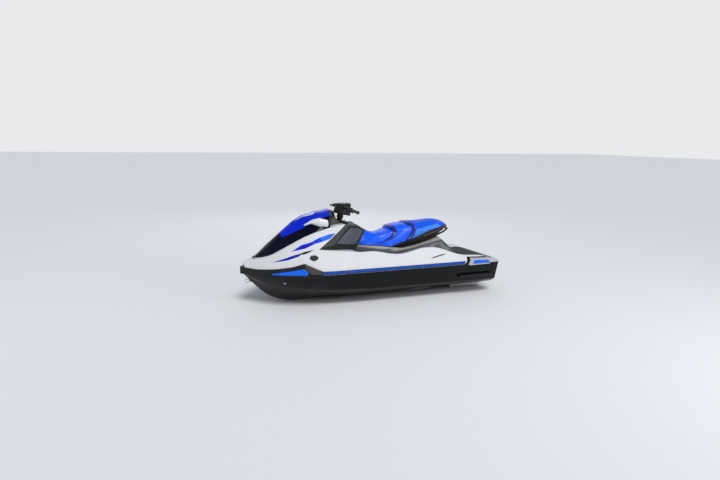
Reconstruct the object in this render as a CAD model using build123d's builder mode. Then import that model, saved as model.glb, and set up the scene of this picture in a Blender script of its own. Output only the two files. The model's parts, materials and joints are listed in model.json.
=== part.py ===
"""Three-seat personal watercraft, modelled as separate mouldings, pads and machinery.

Millimetres. +X runs to the bow, +Y to port, +Z up. The keel rests on z = 0 and the origin is
under the middle of the overall length.
"""
import os
from math import cos, radians, sin

from build123d import *

os.makedirs("parts", exist_ok=True)

# Overall craft
LENGTH = 3130
BEAM = 1130
HALF_LENGTH = LENGTH / 2

# Hull moulding and the skin trims that wrap it
SHEER_Z = 385
TRANSOM_X = -1480
KEEL_HALF = 35
SKIN_PROUD = 12
INSERT_PROUD = 15
SKIN_BASE_Z = 354
STRIP_TOP_Z = 428
STRIP_BOTTOM_Z = 390
STRIP_FRONT_X = 780
STRIP_REAR_X = -996
JOINT_Y = BEAM / 2 - SKIN_PROUD

# Footwells and boarding platform
FLOOR_Z = 352
FLOOR_THICK = 18
WELL_INNER_Y = 240
WELL_OUTER_Y = 428
WELL_FRONT_X = 360
WELL_REAR_X = -1010
PLATFORM_Z = 400
STERN_CORNER_X, STERN_CORNER_Y = -1522, 470
MAT_THICK = 8
MAT_INSET = 14

# Slanted joint between the white cowl and the grey console, seen from the side
COWL_TOP_X, COWL_TOP_Z = 418, 878
COWL_LOW_X, COWL_LOW_Z = 796, 650
CONSOLE_BASE_X, CONSOLE_BASE_Z = 360, 604
CONSOLE_TAIL_X, CONSOLE_TAIL_Z = 272, 632
CONSOLE_KNEE_X, CONSOLE_KNEE_Z = 262, 870
CONSOLE_TOP_X, CONSOLE_TOP_Z = 130, 798
PANEL_GROOVE = 6

# Storage bin under the hood
BIN_FRONT_X, BIN_REAR_X = 1100, 700
BIN_HALF = 160
BIN_FLOOR_Z = 450
BIN_WALL = 5
BIN_LIP_Z = 636

# Hood
HOOD_WALL = 16
HOOD_GAP = 8
HINGE_X, HINGE_Z = 1414, 522
HINGE_PIN_R = 4
HINGE_BARREL_R = 8
HINGE_LENGTH = 70
HINGE_ROOM = 5
CHEEK_REAR_X = 640
HOOD_REAR_EDGE = (596, 840), (612, 930), (526, 1080)
DASH_GAP = 8

# Engine and drive line
SHAFT_Z = 130
SHAFT_R = 12
SHAFT_ROOM = 6
ENGINE_FRONT_X, ENGINE_REAR_X = 300, -320
ENGINE_HALF = 170
ENGINE_BASE_Z, ENGINE_TOP_Z = 75, 465
ENGINE_ROOM = 12

# Jet pump
PUMP_BORE_R = 78
PUMP_WALL = 11
PUMP_FRONT_X, PUMP_REAR_X = -1050, -1270
FLANGE_THICK = 14
BAY_HALF = 135
BAY_TOP_Z = 338
IMPELLER_GAP = 1
IMPELLER_FRONT_X, IMPELLER_REAR_X = -1078, -1168
HUB_R = 34
BLADE_COUNT = 4
BLADE_THICK = 5
BLADE_TWIST = 55
VANE_COUNT = 7
VANE_THICK = 4
VANE_TWIST = 20
CONE_REAR_X = -1372
CONE_STRAIGHT = 50
CONE_BORE_R = 40
CONE_WALL = 5
STATOR_FRONT_X = -1176

# Steering nozzle and reverse gate
NOZZLE_PIVOT_X = -1360
NOZZLE_FRONT_X, NOZZLE_REAR_X = -1356, -1455
NOZZLE_BORE_R = 58
NOZZLE_EXIT_R = 42
NOZZLE_WALL = 5
NOZZLE_PIN_R = 5
GATE_X, GATE_Z = -1352, 175
GATE_R = 146
GATE_WALL = 6
GATE_HALF = 98
GATE_LOW, GATE_HIGH = 8, 82
GATE_PIN_R = 7
LUG_Y, LUG_THICK = 84, 7

RIDE_PLATE_THICK = 9
RIDE_PLATE_SIDE_Z = 34
INTAKE_FRONT_X, INTAKE_REAR_X = -430, -800
INTAKE_HALF = 72
GRATE_BAR = 9
GRATE_COUNT = 5

# Steering
STEER_X, STEER_Z = 398, 915
STEER_RAKE = 12
COLUMN_R = 32
COLUMN_BELOW, COLUMN_ABOVE = 30, 118
BAR_R = 11
GRIP_R = 17
GRIP_LENGTH = 125
GRIP_END = (322, 388, 1031)
BAR_BEND = (378, 150, 1060)
BAR_MID = (384, 60, 1050)

# Seat
SEAT_SPLIT_X = -425
SEAT_GAP = 3
HANDLE_R = 11

PAD_R, PAD_TAIL, PAD_TAIL_HALF = 92, 108, 66
PAD_BELOW, PAD_TOP_Z = 60, 1100
GAUGE_HALF, GAUGE_DEEP, GAUGE_THICK = 64, 44, 18
GAUGE_SEAT = 4

# Glove box in the console's sloping top, along the slope from its low end
LID_REAR, LID_FRONT = 24, 134
LID_HALF = 62
LID_LAP = 9
LID_THICK = 9
LID_PIN_R = 3
LID_KNUCKLE = 3
GLOVE_DEPTH = 70

# Fittings
GLASS_THICK = 3
MAT_FRONT_X, MAT_REAR_X = -1100, -1500
MAT_HALF = 405
SPONSON_Y = 512
FUEL_CAP_X, FUEL_CAP_Y, FUEL_CAP_Z = 868, 482, 592
FUEL_CAP_R = 45
EYE_X, EYE_Z = 1490, 262
EYE_R, EYE_BORE_R, EYE_THICK = 25, 15, 10
EYE_STEM = 70
STERN_EYE_X, STERN_EYE_Y, STERN_EYE_Z = -1500, 330, 300
DRAIN_Y, DRAIN_Z, DRAIN_R = 210, 120, 15

CLEARANCE = 0.3
RUNNING = 0.06
WIDE = 2400
UP = (Align.CENTER, Align.CENTER, Align.MIN)
AFT_UP = (Align.MAX, Align.CENTER, Align.MIN)
BOTH_SIDES = (1, -1)


def station(x: float) -> Plane:
    """Return the upright plane across the craft at x, with its own x along +Y."""
    return Plane(origin=(x, 0, 0), x_dir=(0, 1, 0), z_dir=(1, 0, 0))


def side_plane(y: float = 0) -> Plane:
    """Return the fore and aft plane at y, seen from starboard, with its own x along +X."""
    return Plane(origin=(0, y, 0), x_dir=(1, 0, 0), z_dir=(0, -1, 0))


def mirrored(half: list) -> list:
    """Return a closed outline across the craft from its port half."""
    return half + [(-y, z) for y, z in reversed(half)]


def side_prism(*points: tuple, half_width: float = WIDE / 2) -> Part:
    """Return the block across the craft whose outline, seen from the side, has these points."""
    with BuildPart() as block:
        with BuildSketch(side_plane()):
            with BuildLine():
                Polyline(*points, close=True)
            make_face()
        extrude(amount=half_width, both=True)
    return block.part


def across_loft(rows: list, ruled: bool = False) -> Part:
    """Return the loft through (x, port half outline) rows, straight between them if ruled."""
    with BuildPart() as body:
        for x, half in rows:
            with BuildSketch(station(x)):
                with BuildLine():
                    Polyline(*mirrored(half), close=True)
                make_face()
        loft(ruled=ruled)
    return body.part


def crowned_loft(rows: list, ruled: bool = False) -> Part:
    """Return the loft through rows of x, edge y, z, shoulder y, z and crown height."""
    with BuildPart() as body:
        for x, edge_y, edge_z, shoulder_y, shoulder_z, crown_z in rows:
            with BuildSketch(station(x)):
                with BuildLine():
                    Polyline((shoulder_y, shoulder_z), (edge_y, edge_z), (-edge_y, edge_z), (-shoulder_y, shoulder_z))
                    ThreePointArc((-shoulder_y, shoulder_z), (0, crown_z), (shoulder_y, shoulder_z))
                make_face()
        loft(ruled=ruled)
    return body.part


# Hull stations: x, keel z, then half breadth and height of the bottom chine and the upper
# chine, and how far the sheer lies inside the joint. The run aft of the third is straight.
HULL_STATIONS = [
    (TRANSOM_X, 0, 395, 118, 478, 168, 14),
    (-700, 0, 400, 120, 490, 172, 2),
    (200, 0, 390, 122, 486, 178, 2),
    (500, 0, 370, 126, 470, 186, 6),
    (850, 3, 305, 134, 420, 208, 30),
    (1190, 52, 200, 175, 300, 255, 153),
    (1400, 205, 92, 262, 148, 300, 330),
    (1526, 340, 22, 350, 34, 358, 497),
]
hull_rows = [
    (x, [(min(KEEL_HALF, low_y / 2), keel_z), (low_y, low_z), (high_y, high_z), (JOINT_Y - inset, SHEER_Z)])
    for x, keel_z, low_y, low_z, high_y, high_z, inset in HULL_STATIONS
]
with BuildPart() as hull_block:
    add(across_loft(hull_rows[:3], ruled=True))
    add(across_loft(hull_rows[2:]))
    split(bisect_by=Plane.XY, keep=Keep.TOP)
hull_body = hull_block.part

# Upper body stations forward of the console: x, inset of the joint, then half breadth and
# height of the shoulder and of the cowl's top edge
BOW_STATIONS = [
    (1526, 499, 44, 452, 16, 474),
    (1430, 359, 182, 462, 62, 514),
    (1264, 203, 338, 522, 199, 577),
    (1009, 75, 460, 566, 259, 716),
    (738, 8, 494, 600, 279, 826),
    (540, 1, 474, 605, 262, 872),
    (360, 0, 460, 606, 232, 878),
]

# Gunwale stations aft of the cowl: x, inset of the joint, then half breadth and height of
# the gunwale's top edge
AFT_STATIONS = [
    (WELL_FRONT_X, 0, 460, 606),
    (200, 0, 461, 599),
    (10, 0, 464, 572),
    (-196, 0, 468, 548),
    (-380, 0, 464, 582),
    (-560, 0, 460, 602),
    (-720, 0, 462, 577),
    (-900, 3, 470, 513),
    (-1150, 12, 468, 472),
    (-1370, 28, 456, 441),
    (-HALF_LENGTH, 46, 440, 412),
]


def bow_loft(proud: float, base_z: float) -> Part:
    """Return the upper body from stem to console, its sides moved out by proud."""
    rows = []
    # A skin also wraps the stem
    if proud:
        rows.append((HALF_LENGTH - SKIN_PROUD + proud, [
            (20, base_z), (20, STRIP_TOP_Z), (16, STRIP_TOP_Z + 8), (10, STRIP_TOP_Z + 14)
        ]))
    for x, inset, shoulder_y, shoulder_z, top_y, top_z in BOW_STATIONS:
        joint = JOINT_Y - inset + proud
        rows.append((x, [
            (joint, base_z), (joint, STRIP_TOP_Z), (shoulder_y + proud, shoulder_z), (top_y + proud, top_z)
        ]))
    return across_loft(rows)


def aft_loft(proud: float, base_z: float) -> Part:
    """Return the gunwale body from console to stern, its sides moved out by proud."""
    rows = []
    for x, inset, top_y, top_z in AFT_STATIONS:
        joint = JOINT_Y - inset + proud
        rows.append((x, [(joint, base_z), (joint, min(STRIP_TOP_Z, top_z - 12)), (top_y + proud, top_z)]))
    return across_loft(rows)


bow_body = bow_loft(0, SHEER_Z)
aft_body = aft_loft(0, SHEER_Z)
well_mid_y = (WELL_INNER_Y + WELL_OUTER_Y) / 2
well_mid_x = (WELL_FRONT_X + WELL_REAR_X) / 2
well_length = WELL_FRONT_X - WELL_REAR_X
well_width = WELL_OUTER_Y - WELL_INNER_Y
well_corners = [(WELL_FRONT_X, side * well_mid_y, FLOOR_Z - FLOOR_THICK) for side in BOTH_SIDES]
bin_middle_x = (BIN_FRONT_X + BIN_REAR_X) / 2
bin_length = BIN_FRONT_X - BIN_REAR_X
engine_middle_x = (ENGINE_FRONT_X + ENGINE_REAR_X) / 2
engine_length = ENGINE_FRONT_X - ENGINE_REAR_X
engine_room = (engine_length + 2 * ENGINE_ROOM, 2 * (ENGINE_HALF + ENGINE_ROOM), ENGINE_TOP_Z + ENGINE_ROOM - ENGINE_BASE_Z)
slant = (COWL_TOP_X, COWL_TOP_Z), (COWL_LOW_X, COWL_LOW_Z)
console_outline = [
    *slant,
    (CONSOLE_BASE_X, CONSOLE_BASE_Z),
    (CONSOLE_TAIL_X, CONSOLE_TAIL_Z),
    (CONSOLE_TOP_X, CONSOLE_TOP_Z),
    (CONSOLE_KNEE_X, CONSOLE_KNEE_Z),
]
stern_corner = (STERN_CORNER_X, STERN_CORNER_Y)

with BuildPart() as deck:
    add(bow_body)
    # Everything behind the slanted joint belongs to the console
    add(
        side_prism(*slant, (CONSOLE_BASE_X, CONSOLE_BASE_Z), (0, CONSOLE_BASE_Z), (0, 1000), (COWL_TOP_X, 1000)),
        mode=Mode.SUBTRACT,
    )
    add(aft_body)
    # Between the gunwales the moulding drops to the platform, where the pedestal stands
    with Locations((WELL_FRONT_X, 0, PLATFORM_Z)):
        Box(WIDE, 2 * WELL_OUTER_Y, WIDE, align=AFT_UP, mode=Mode.SUBTRACT)
    with Locations(*well_corners):
        Box(well_length, well_width, SHEER_Z - FLOOR_Z + FLOOR_THICK, align=AFT_UP)
    with Locations(*[(WELL_FRONT_X - FLOOR_THICK, side * well_mid_y, FLOOR_Z) for side in BOTH_SIDES]):
        Box(
            well_length - 2 * FLOOR_THICK, well_width - 2 * FLOOR_THICK, WIDE,
            align=AFT_UP, mode=Mode.SUBTRACT,
        )
    # The stern edge bows out amidships
    with BuildSketch(Plane.XY):
        with BuildLine():
            ThreePointArc(stern_corner, (-HALF_LENGTH, 0), (STERN_CORNER_X, -STERN_CORNER_Y))
            Polyline(
                (STERN_CORNER_X, -STERN_CORNER_Y), (STERN_CORNER_X, -WIDE), (-WIDE, -WIDE),
                (-WIDE, WIDE), (STERN_CORNER_X, WIDE), stern_corner,
            )
        make_face()
    extrude(amount=WIDE, mode=Mode.SUBTRACT)
    # Openings for the storage bin, the engine and the hood's hinge
    with Locations((bin_middle_x, 0, BIN_FLOOR_Z)):
        Box(bin_length, 2 * BIN_HALF, WIDE, align=UP, mode=Mode.SUBTRACT)
    with Locations((engine_middle_x, 0, ENGINE_BASE_Z)):
        Box(*engine_room, align=UP, mode=Mode.SUBTRACT)
    with Locations((HINGE_X, 0, HINGE_Z)):
        Cylinder(
            HINGE_BARREL_R + HINGE_ROOM, HINGE_LENGTH + 4 * HINGE_BARREL_R, rotation=(90, 0, 0), mode=Mode.SUBTRACT
        )
deck.part.label = "deck"
export_step(deck.part, "parts/deck.step")

duct_top_z = SHAFT_Z + PUMP_BORE_R
with BuildPart() as hull:
    add(hull_body)
    with Locations(*well_corners):
        Box(well_length, well_width, WIDE, align=AFT_UP, mode=Mode.SUBTRACT)
    with Locations((engine_middle_x, 0, ENGINE_BASE_Z)):
        Box(*engine_room, align=UP, mode=Mode.SUBTRACT)
    # Pump bay, open below and aft
    with Locations((PUMP_FRONT_X, 0, -1)):
        Box(WIDE, 2 * BAY_HALF, BAY_TOP_Z + 1, align=AFT_UP, mode=Mode.SUBTRACT)
    # Intake duct climbing from the keel to the pump
    add(
        side_prism(
            (INTAKE_FRONT_X, -1), (INTAKE_REAR_X, -1), (INTAKE_REAR_X, GRATE_BAR + 5),
            (PUMP_FRONT_X, SHAFT_Z - PUMP_BORE_R), (PUMP_FRONT_X, duct_top_z),
            ((INTAKE_FRONT_X + PUMP_FRONT_X) / 2, duct_top_z), (INTAKE_FRONT_X, GRATE_BAR + 5),
            half_width=INTAKE_HALF,
        ),
        mode=Mode.SUBTRACT,
    )
    with Locations(((ENGINE_REAR_X + PUMP_FRONT_X) / 2, 0, SHAFT_Z)):
        Cylinder(
            SHAFT_R + SHAFT_ROOM, ENGINE_REAR_X - PUMP_FRONT_X, rotation=(0, 90, 0), mode=Mode.SUBTRACT
        )
hull.part.label = "hull"
export_step(hull.part, "parts/hull.step")

skin = {proud: bow_loft(proud, SKIN_BASE_Z) + aft_loft(proud, SKIN_BASE_Z) for proud in (SKIN_PROUD, INSERT_PROUD)}


def skin_patch(proud: float, *points: tuple) -> Part:
    """Return the trim that stands proud of the hull and deck inside a side outline."""
    with BuildPart() as patch:
        add(side_prism(*points))
        add(skin[proud], mode=Mode.INTERSECT)
        add(hull_body, mode=Mode.SUBTRACT)
        add(bow_body, mode=Mode.SUBTRACT)
        add(aft_body, mode=Mode.SUBTRACT)
    return patch.part


BUMPER_OUTLINE = [
    (STRIP_FRONT_X, SKIN_BASE_Z), (STRIP_FRONT_X, STRIP_TOP_Z), (973, 516), (1100, 478), (1268, 449),
    (1436, 430), (1700, 426), (1700, SKIN_BASE_Z),
]
STRIP_OUTLINE = [
    (STRIP_REAR_X, STRIP_BOTTOM_Z), (STRIP_REAR_X, STRIP_TOP_Z), (STRIP_FRONT_X, STRIP_TOP_Z),
    (STRIP_FRONT_X, STRIP_BOTTOM_Z),
]
BUMPER_INSERT = [(952, 390), (938, 424), (985, 462), (1300, 400), (1285, 388)]
# Stern trims: a black chevron that runs on above a silver cap with a blue insert
CHEVRON = [(-998, 378), (-1052, 466), (-1380, 450), (-1380, 443), (-1082, 458), (-1048, 402), (-1040, 378)]
CORNER_CAP = [(-1042, 378), (-1052, 402), (-1085, 455), (-1380, 440), (-1440, 426), (-1500, 400), (-1500, 372), (-1080, 372)]
CORNER_INSERT = [(-1112, 388), (-1110, 418), (-1132, 430), (-1330, 421), (-1358, 398), (-1335, 386)]

TRIMS = [
    ("bow_bumper", SKIN_PROUD, [BUMPER_OUTLINE]),
    ("rub_strips", SKIN_PROUD, [STRIP_OUTLINE]),
    ("stern_chevrons", SKIN_PROUD, [CHEVRON]),
    ("stern_caps", SKIN_PROUD, [CORNER_CAP]),
    ("bumper_inserts", INSERT_PROUD, [BUMPER_INSERT]),
    ("stern_inserts", INSERT_PROUD, [CORNER_INSERT]),
]
trims = {}
for name, proud, outlines in TRIMS:
    with BuildPart() as trim:
        add(skin_patch(proud, *outlines[0]))
        # An insert only stands on the trim below it
        if proud == INSERT_PROUD:
            add(skin[SKIN_PROUD], mode=Mode.SUBTRACT)
        # The stern trims end at the corners
        if name.startswith("stern"):
            with Locations((TRANSOM_X, 0, SHEER_Z)):
                Box(WELL_OUTER_Y, 2 * WELL_OUTER_Y, WELL_OUTER_Y, mode=Mode.SUBTRACT)
    trim.part.label = name
    export_step(trim.part, f"parts/{name}.step")
    trims[name] = trim.part

# Console between the cowl and the seat: x, low half breadth, top half breadth and height
CONSOLE_STATIONS = [
    (COWL_LOW_X + 10, 468, 318, 760),
    (600, 424, 262, 858),
    (COWL_TOP_X, 336, 232, COWL_TOP_Z),
    (CONSOLE_KNEE_X, 262, 184, CONSOLE_KNEE_Z),
    (CONSOLE_TOP_X - 10, 206, 140, 798),
]


def console_loft(inset: float) -> Part:
    """Return the console body with its sides moved in by inset."""
    return across_loft([
        (x, [(low_y - inset, CONSOLE_BASE_Z - 20), (top_y - inset, top_z + 40)])
        for x, low_y, top_y, top_z in CONSOLE_STATIONS
    ])


PANEL_OUTER = [(366, 858), (596, 680), (345, 644), (274, 650), (150, 794), (230, 836)]
PANEL_INNER = [(352, 844), (568, 690), (348, 656), (284, 662), (170, 794), (238, 828)]

with BuildPart() as panel_groove:
    add(side_prism(*PANEL_OUTER))
    add(side_prism(*PANEL_INNER), mode=Mode.SUBTRACT)
    add(console_loft(PANEL_GROOVE), mode=Mode.SUBTRACT)

glove_slope = Vector(CONSOLE_KNEE_X - CONSOLE_TOP_X, 0, CONSOLE_KNEE_Z - CONSOLE_TOP_Z).normalized()
glove_plane = Plane(
    origin=(CONSOLE_TOP_X, 0, CONSOLE_TOP_Z), x_dir=glove_slope,
    z_dir=(-glove_slope.Z, 0, glove_slope.X),
)
lid_middle = (LID_FRONT + LID_REAR) / 2

with BuildPart() as console:
    add(console_loft(0))
    add(side_prism(*console_outline), mode=Mode.INTERSECT)
    add(panel_groove.part, mode=Mode.SUBTRACT)
    with BuildSketch(glove_plane):
        with Locations((lid_middle, 0)):
            RectangleRounded(LID_FRONT - LID_REAR - 2 * LID_LAP, 2 * (LID_HALF - LID_LAP), 12)
    extrude(amount=-GLOVE_DEPTH, mode=Mode.SUBTRACT)
console.part.label = "console"
export_step(console.part, "parts/console.step")

# Glove box lid with its knuckle at the front edge, and the pin on the console
lid_hinge = glove_plane.from_local_coords(Vector(LID_FRONT + LID_PIN_R, 0, LID_PIN_R + LID_KNUCKLE + 1))
with BuildPart() as glove_lid:
    with BuildSketch(glove_plane.offset(CLEARANCE)):
        with Locations((lid_middle, 0)):
            RectangleRounded(LID_FRONT - LID_REAR, 2 * LID_HALF, 18)
    extrude(amount=LID_THICK)
    chamfer(glove_lid.faces().sort_by(Axis.Z)[-1].edges(), 2)
    with Locations(lid_hinge):
        Cylinder(LID_PIN_R + LID_KNUCKLE, 2 * LID_HALF, rotation=(90, 0, 0))
        Cylinder(LID_PIN_R + RUNNING, 2 * LID_HALF, rotation=(90, 0, 0), mode=Mode.SUBTRACT)
glove_lid.part.label = "glove_lid"
export_step(glove_lid.part, "parts/glove_lid.step")

with BuildPart() as lid_hinge_pin:
    with Locations(lid_hinge):
        Cylinder(LID_PIN_R, 2 * (LID_HALF + LUG_THICK + 1), rotation=(90, 0, 0))
    for side in BOTH_SIDES:
        with Locations(lid_hinge + Vector(0, side * (LID_HALF + 1 + LUG_THICK / 2), 0)):
            Cylinder(LID_PIN_R + LID_KNUCKLE, LUG_THICK, rotation=(90, 0, 0))
            Box(2 * LID_PIN_R + 4, LUG_THICK, 24, align=(Align.CENTER, Align.CENTER, Align.MAX))
    add(console.part, mode=Mode.SUBTRACT)
lid_hinge_pin.part.label = "lid_hinge_pin"
export_step(lid_hinge_pin.part, "parts/lid_hinge_pin.step")

# Storage bin hanging in the cowl
with BuildPart() as storage_bin:
    with Locations((bin_middle_x, 0, BIN_FLOOR_Z)):
        Box(bin_length, 2 * BIN_HALF, BIN_LIP_Z - BIN_FLOOR_Z, align=UP)
    with Locations((bin_middle_x, 0, BIN_FLOOR_Z + BIN_WALL)):
        Box(
            bin_length - 2 * BIN_WALL, 2 * (BIN_HALF - BIN_WALL), BIN_LIP_Z,
            align=UP, mode=Mode.SUBTRACT,
        )
storage_bin.part.label = "storage_bin"
export_step(storage_bin.part, "parts/storage_bin.step")

# Hood stations: x, half breadth and height of the bottom edge and of the shoulder, crown height
HOOD_STATIONS = [
    (HINGE_X - 12, 66, 513, 44, 522, 532),
    (1264, 196, 577, 118, 622, 656),
    (1060, 248, 694, 112, 776, 834),
    (962, 258, 738, 128, 828, 914),
    (860, 268, 780, 150, 882, 972),
    (700, 272, 838, 192, 966, 1014),
    (526, 258, 880, 200, 978, 1044),
]
hood_outer = crowned_loft([
    (x, edge_y, edge_z + HOOD_GAP, shoulder_y, shoulder_z, crown_z)
    for x, edge_y, edge_z, shoulder_y, shoulder_z, crown_z in HOOD_STATIONS
], ruled=True)
hood_inner = crowned_loft([
    (x, edge_y - HOOD_WALL, edge_z - 4 * HOOD_WALL, shoulder_y - HOOD_WALL * 0.9, shoulder_z - HOOD_WALL, crown_z - HOOD_WALL)
    for x, edge_y, edge_z, shoulder_y, shoulder_z, crown_z in HOOD_STATIONS
], ruled=True)
HOOD_COLOUR_LINE = [(1120, 745), (876, 858), (702, 955), (520, 1000)]
hood_top_block = side_prism(*HOOD_COLOUR_LINE, (500, 1200), (1120, 1200))
# The hood's edge keeps its gap to the cowl all round
cowl_lifted = bow_body.moved(Location((0, 0, HOOD_GAP)))
hood_rear_cut = side_prism(*HOOD_REAR_EDGE, (400, 1080), (400, 840))

with BuildPart() as hood_top:
    add(hood_outer)
    add(hood_inner, mode=Mode.SUBTRACT)
    add(cowl_lifted, mode=Mode.SUBTRACT)
    add(hood_top_block, mode=Mode.INTERSECT)
    add(hood_rear_cut, mode=Mode.SUBTRACT)
hood_top.part.label = "hood_top"
export_step(hood_top.part, "parts/hood_top.step")

with BuildPart() as hood_shroud:
    add(hood_outer)
    add(hood_inner, mode=Mode.SUBTRACT)
    add(cowl_lifted, mode=Mode.SUBTRACT)
    add(hood_top_block, mode=Mode.SUBTRACT)
    add(hood_rear_cut, mode=Mode.SUBTRACT)
    with Locations((HINGE_X, 0, HINGE_Z)):
        Cylinder(HINGE_BARREL_R, HINGE_LENGTH, rotation=(90, 0, 0))
    add(side_prism(
        (HINGE_X, HINGE_Z + 1), (HINGE_X, HINGE_Z + HINGE_BARREL_R), (HINGE_X - 60, HINGE_Z + 34), (HINGE_X - 60, HINGE_Z + 26),
        half_width=HINGE_LENGTH / 2,
    ))
    with Locations((HINGE_X, 0, HINGE_Z)):
        Cylinder(HINGE_PIN_R + RUNNING, HINGE_LENGTH, rotation=(90, 0, 0), mode=Mode.SUBTRACT)
hood_shroud.part.label = "hood_shroud"
export_step(hood_shroud.part, "parts/hood_shroud.step")

with BuildPart() as hood_hinge_pin:
    with Locations((HINGE_X, 0, HINGE_Z)):
        Cylinder(HINGE_PIN_R, HINGE_LENGTH + 3 * HINGE_BARREL_R, rotation=(90, 0, 0))
    for side in BOTH_SIDES:
        with Locations((HINGE_X, side * (HINGE_LENGTH / 2 + HINGE_BARREL_R), HINGE_Z)):
            Cylinder(HINGE_BARREL_R, HINGE_BARREL_R, rotation=(90, 0, 0))
            Box(HINGE_BARREL_R, HINGE_BARREL_R, 4 * HINGE_BARREL_R, align=(Align.CENTER, Align.CENTER, Align.MAX))
    add(deck.part, mode=Mode.SUBTRACT)
hood_hinge_pin.part.label = "hood_hinge_pin"
export_step(hood_hinge_pin.part, "parts/hood_hinge_pin.step")

# Mirror shells on the hood's flanks: x, middle y, middle z, half breadth, half height
CHEEK_STATIONS = [
    (884, 172, 884, 7, 8),
    (806, 202, 924, 19, 22),
    (728, 238, 920, 34, 50),
    (CHEEK_REAR_X, 264, 908, 34, 40),
]
cheek_solids = {}
for side, name in ((1, "port"), (-1, "starboard")):
    with BuildPart() as cheek:
        for x, middle_y, middle_z, half_y, half_z in CHEEK_STATIONS:
            with BuildSketch(station(x)):
                with Locations((side * middle_y, middle_z)):
                    Ellipse(half_y, half_z)
        loft(ruled=True)
        add(hood_outer, mode=Mode.SUBTRACT)
    cheek.part.label = f"mirror_shell_{name}"
    export_step(cheek.part, f"parts/mirror_shell_{name}.step")
    cheek_solids[name] = cheek.part

with BuildPart() as mirror_glass:
    for side in BOTH_SIDES:
        with BuildSketch(station(CHEEK_REAR_X - GLASS_THICK)):
            with Locations((side * CHEEK_STATIONS[-1][1], CHEEK_STATIONS[-1][2])):
                Ellipse(CHEEK_STATIONS[-1][3] - 5, CHEEK_STATIONS[-1][4] - 5)
        extrude(amount=GLASS_THICK)
    add(hood_outer, mode=Mode.SUBTRACT)
mirror_glass.part.label = "mirror_glass"
export_step(mirror_glass.part, "parts/mirror_glass.step")

# Steering cover between the hood and the console, bored for the column: x, half breadth and
# height of the sides' foot, then of the top
steer_axis = Vector(-sin(radians(STEER_RAKE)), 0, cos(radians(STEER_RAKE)))
steer_plane = Plane(origin=(STEER_X, 0, STEER_Z), x_dir=(steer_axis.Z, 0, -steer_axis.X), z_dir=steer_axis)
DASH_RIDGE = (520, 1030)
DASH_FOOT = (478, 926)
DASH_STATIONS = [
    (600, 186, 800, 100, 1030),
    (DASH_RIDGE[0], 192, 800, 100, DASH_RIDGE[1]),
    (DASH_FOOT[0], 196, 800, 126, DASH_FOOT[1]),
    (CONSOLE_KNEE_X + 60, 150, 800, 96, 884),
]
dash_front = [(x - DASH_GAP, z) for x, z in HOOD_REAR_EDGE]
with BuildPart() as dash:
    add(across_loft([(x, [(low_y, low_z), (top_y, top_z)]) for x, low_y, low_z, top_y, top_z in DASH_STATIONS], ruled=True))
    add(side_prism(*dash_front, (300, 1080), (300, 790), (596 - DASH_GAP, 790)), mode=Mode.INTERSECT)
    add(bow_body, mode=Mode.SUBTRACT)
    add(console.part, mode=Mode.SUBTRACT)
    with BuildSketch(steer_plane.offset(-COLUMN_BELOW)):
        Circle(COLUMN_R + CLEARANCE)
    extrude(amount=4 * COLUMN_R, mode=Mode.SUBTRACT)
dash.part.label = "dash"
export_step(dash.part, "parts/dash.step")

# The display lies on the cover's rear face
gauge_rise = Vector(DASH_RIDGE[0] - DASH_FOOT[0], 0, DASH_RIDGE[1] - DASH_FOOT[1]).normalized()
gauge_middle = ((DASH_RIDGE[0] + DASH_FOOT[0]) / 2, 0, (DASH_RIDGE[1] + DASH_FOOT[1]) / 2)
gauge_plane = Plane(origin=gauge_middle, x_dir=(0, 1, 0), z_dir=(-gauge_rise.Z, 0, gauge_rise.X))
with BuildPart() as gauge:
    with BuildSketch(gauge_plane.offset(-GAUGE_SEAT)):
        RectangleRounded(2 * GAUGE_HALF, GAUGE_DEEP, 14)
    extrude(amount=GAUGE_THICK + GAUGE_SEAT)
    chamfer(gauge.faces().sort_by(Axis((0, 0, 0), gauge_plane.z_dir))[-1].edges(), 4)
    add(dash.part, mode=Mode.SUBTRACT)
gauge.part.label = "gauge"
export_step(gauge.part, "parts/gauge.step")

with BuildPart() as steering_column:
    with BuildSketch(steer_plane.offset(-COLUMN_BELOW)):
        Circle(COLUMN_R)
    extrude(amount=COLUMN_BELOW + COLUMN_ABOVE)
steering_column.part.label = "steering_column"
export_step(steering_column.part, "parts/steering_column.step")

grip_x, grip_y, grip_z = GRIP_END
bend_x, bend_y, bend_z = BAR_BEND
middle_x, middle_y, middle_z = BAR_MID
with BuildPart() as handlebar:
    with BuildLine():
        FilletPolyline(
            GRIP_END, BAR_BEND, BAR_MID, (middle_x, -middle_y, middle_z),
            (bend_x, -bend_y, bend_z), (grip_x, -grip_y, grip_z), radius=45,
        )
    with BuildSketch(Plane(origin=GRIP_END, z_dir=Vector(BAR_BEND) - Vector(GRIP_END))):
        Circle(BAR_R)
    sweep()
    add(steering_column.part, mode=Mode.SUBTRACT)
handlebar.part.label = "handlebar"
export_step(handlebar.part, "parts/handlebar.step")

# Padded cover over the bar, square to the steering axis below and level on top
with BuildPart() as handlebar_pad:
    with BuildSketch(steer_plane.offset(PAD_BELOW)):
        Circle(PAD_R)
        with Locations((-PAD_TAIL / 2, 0)):
            RectangleRounded(PAD_TAIL, 2 * PAD_TAIL_HALF, 24)
    extrude(amount=PAD_TOP_Z - STEER_Z, taper=8)
    split(bisect_by=Plane.XY.offset(PAD_TOP_Z), keep=Keep.BOTTOM)
    fillet(handlebar_pad.faces().sort_by(Axis.Z)[-1].edges(), 16)
    add(steering_column.part, mode=Mode.SUBTRACT)
    add(handlebar.part, mode=Mode.SUBTRACT)
handlebar_pad.part.label = "handlebar_pad"
export_step(handlebar_pad.part, "parts/handlebar_pad.step")

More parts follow.
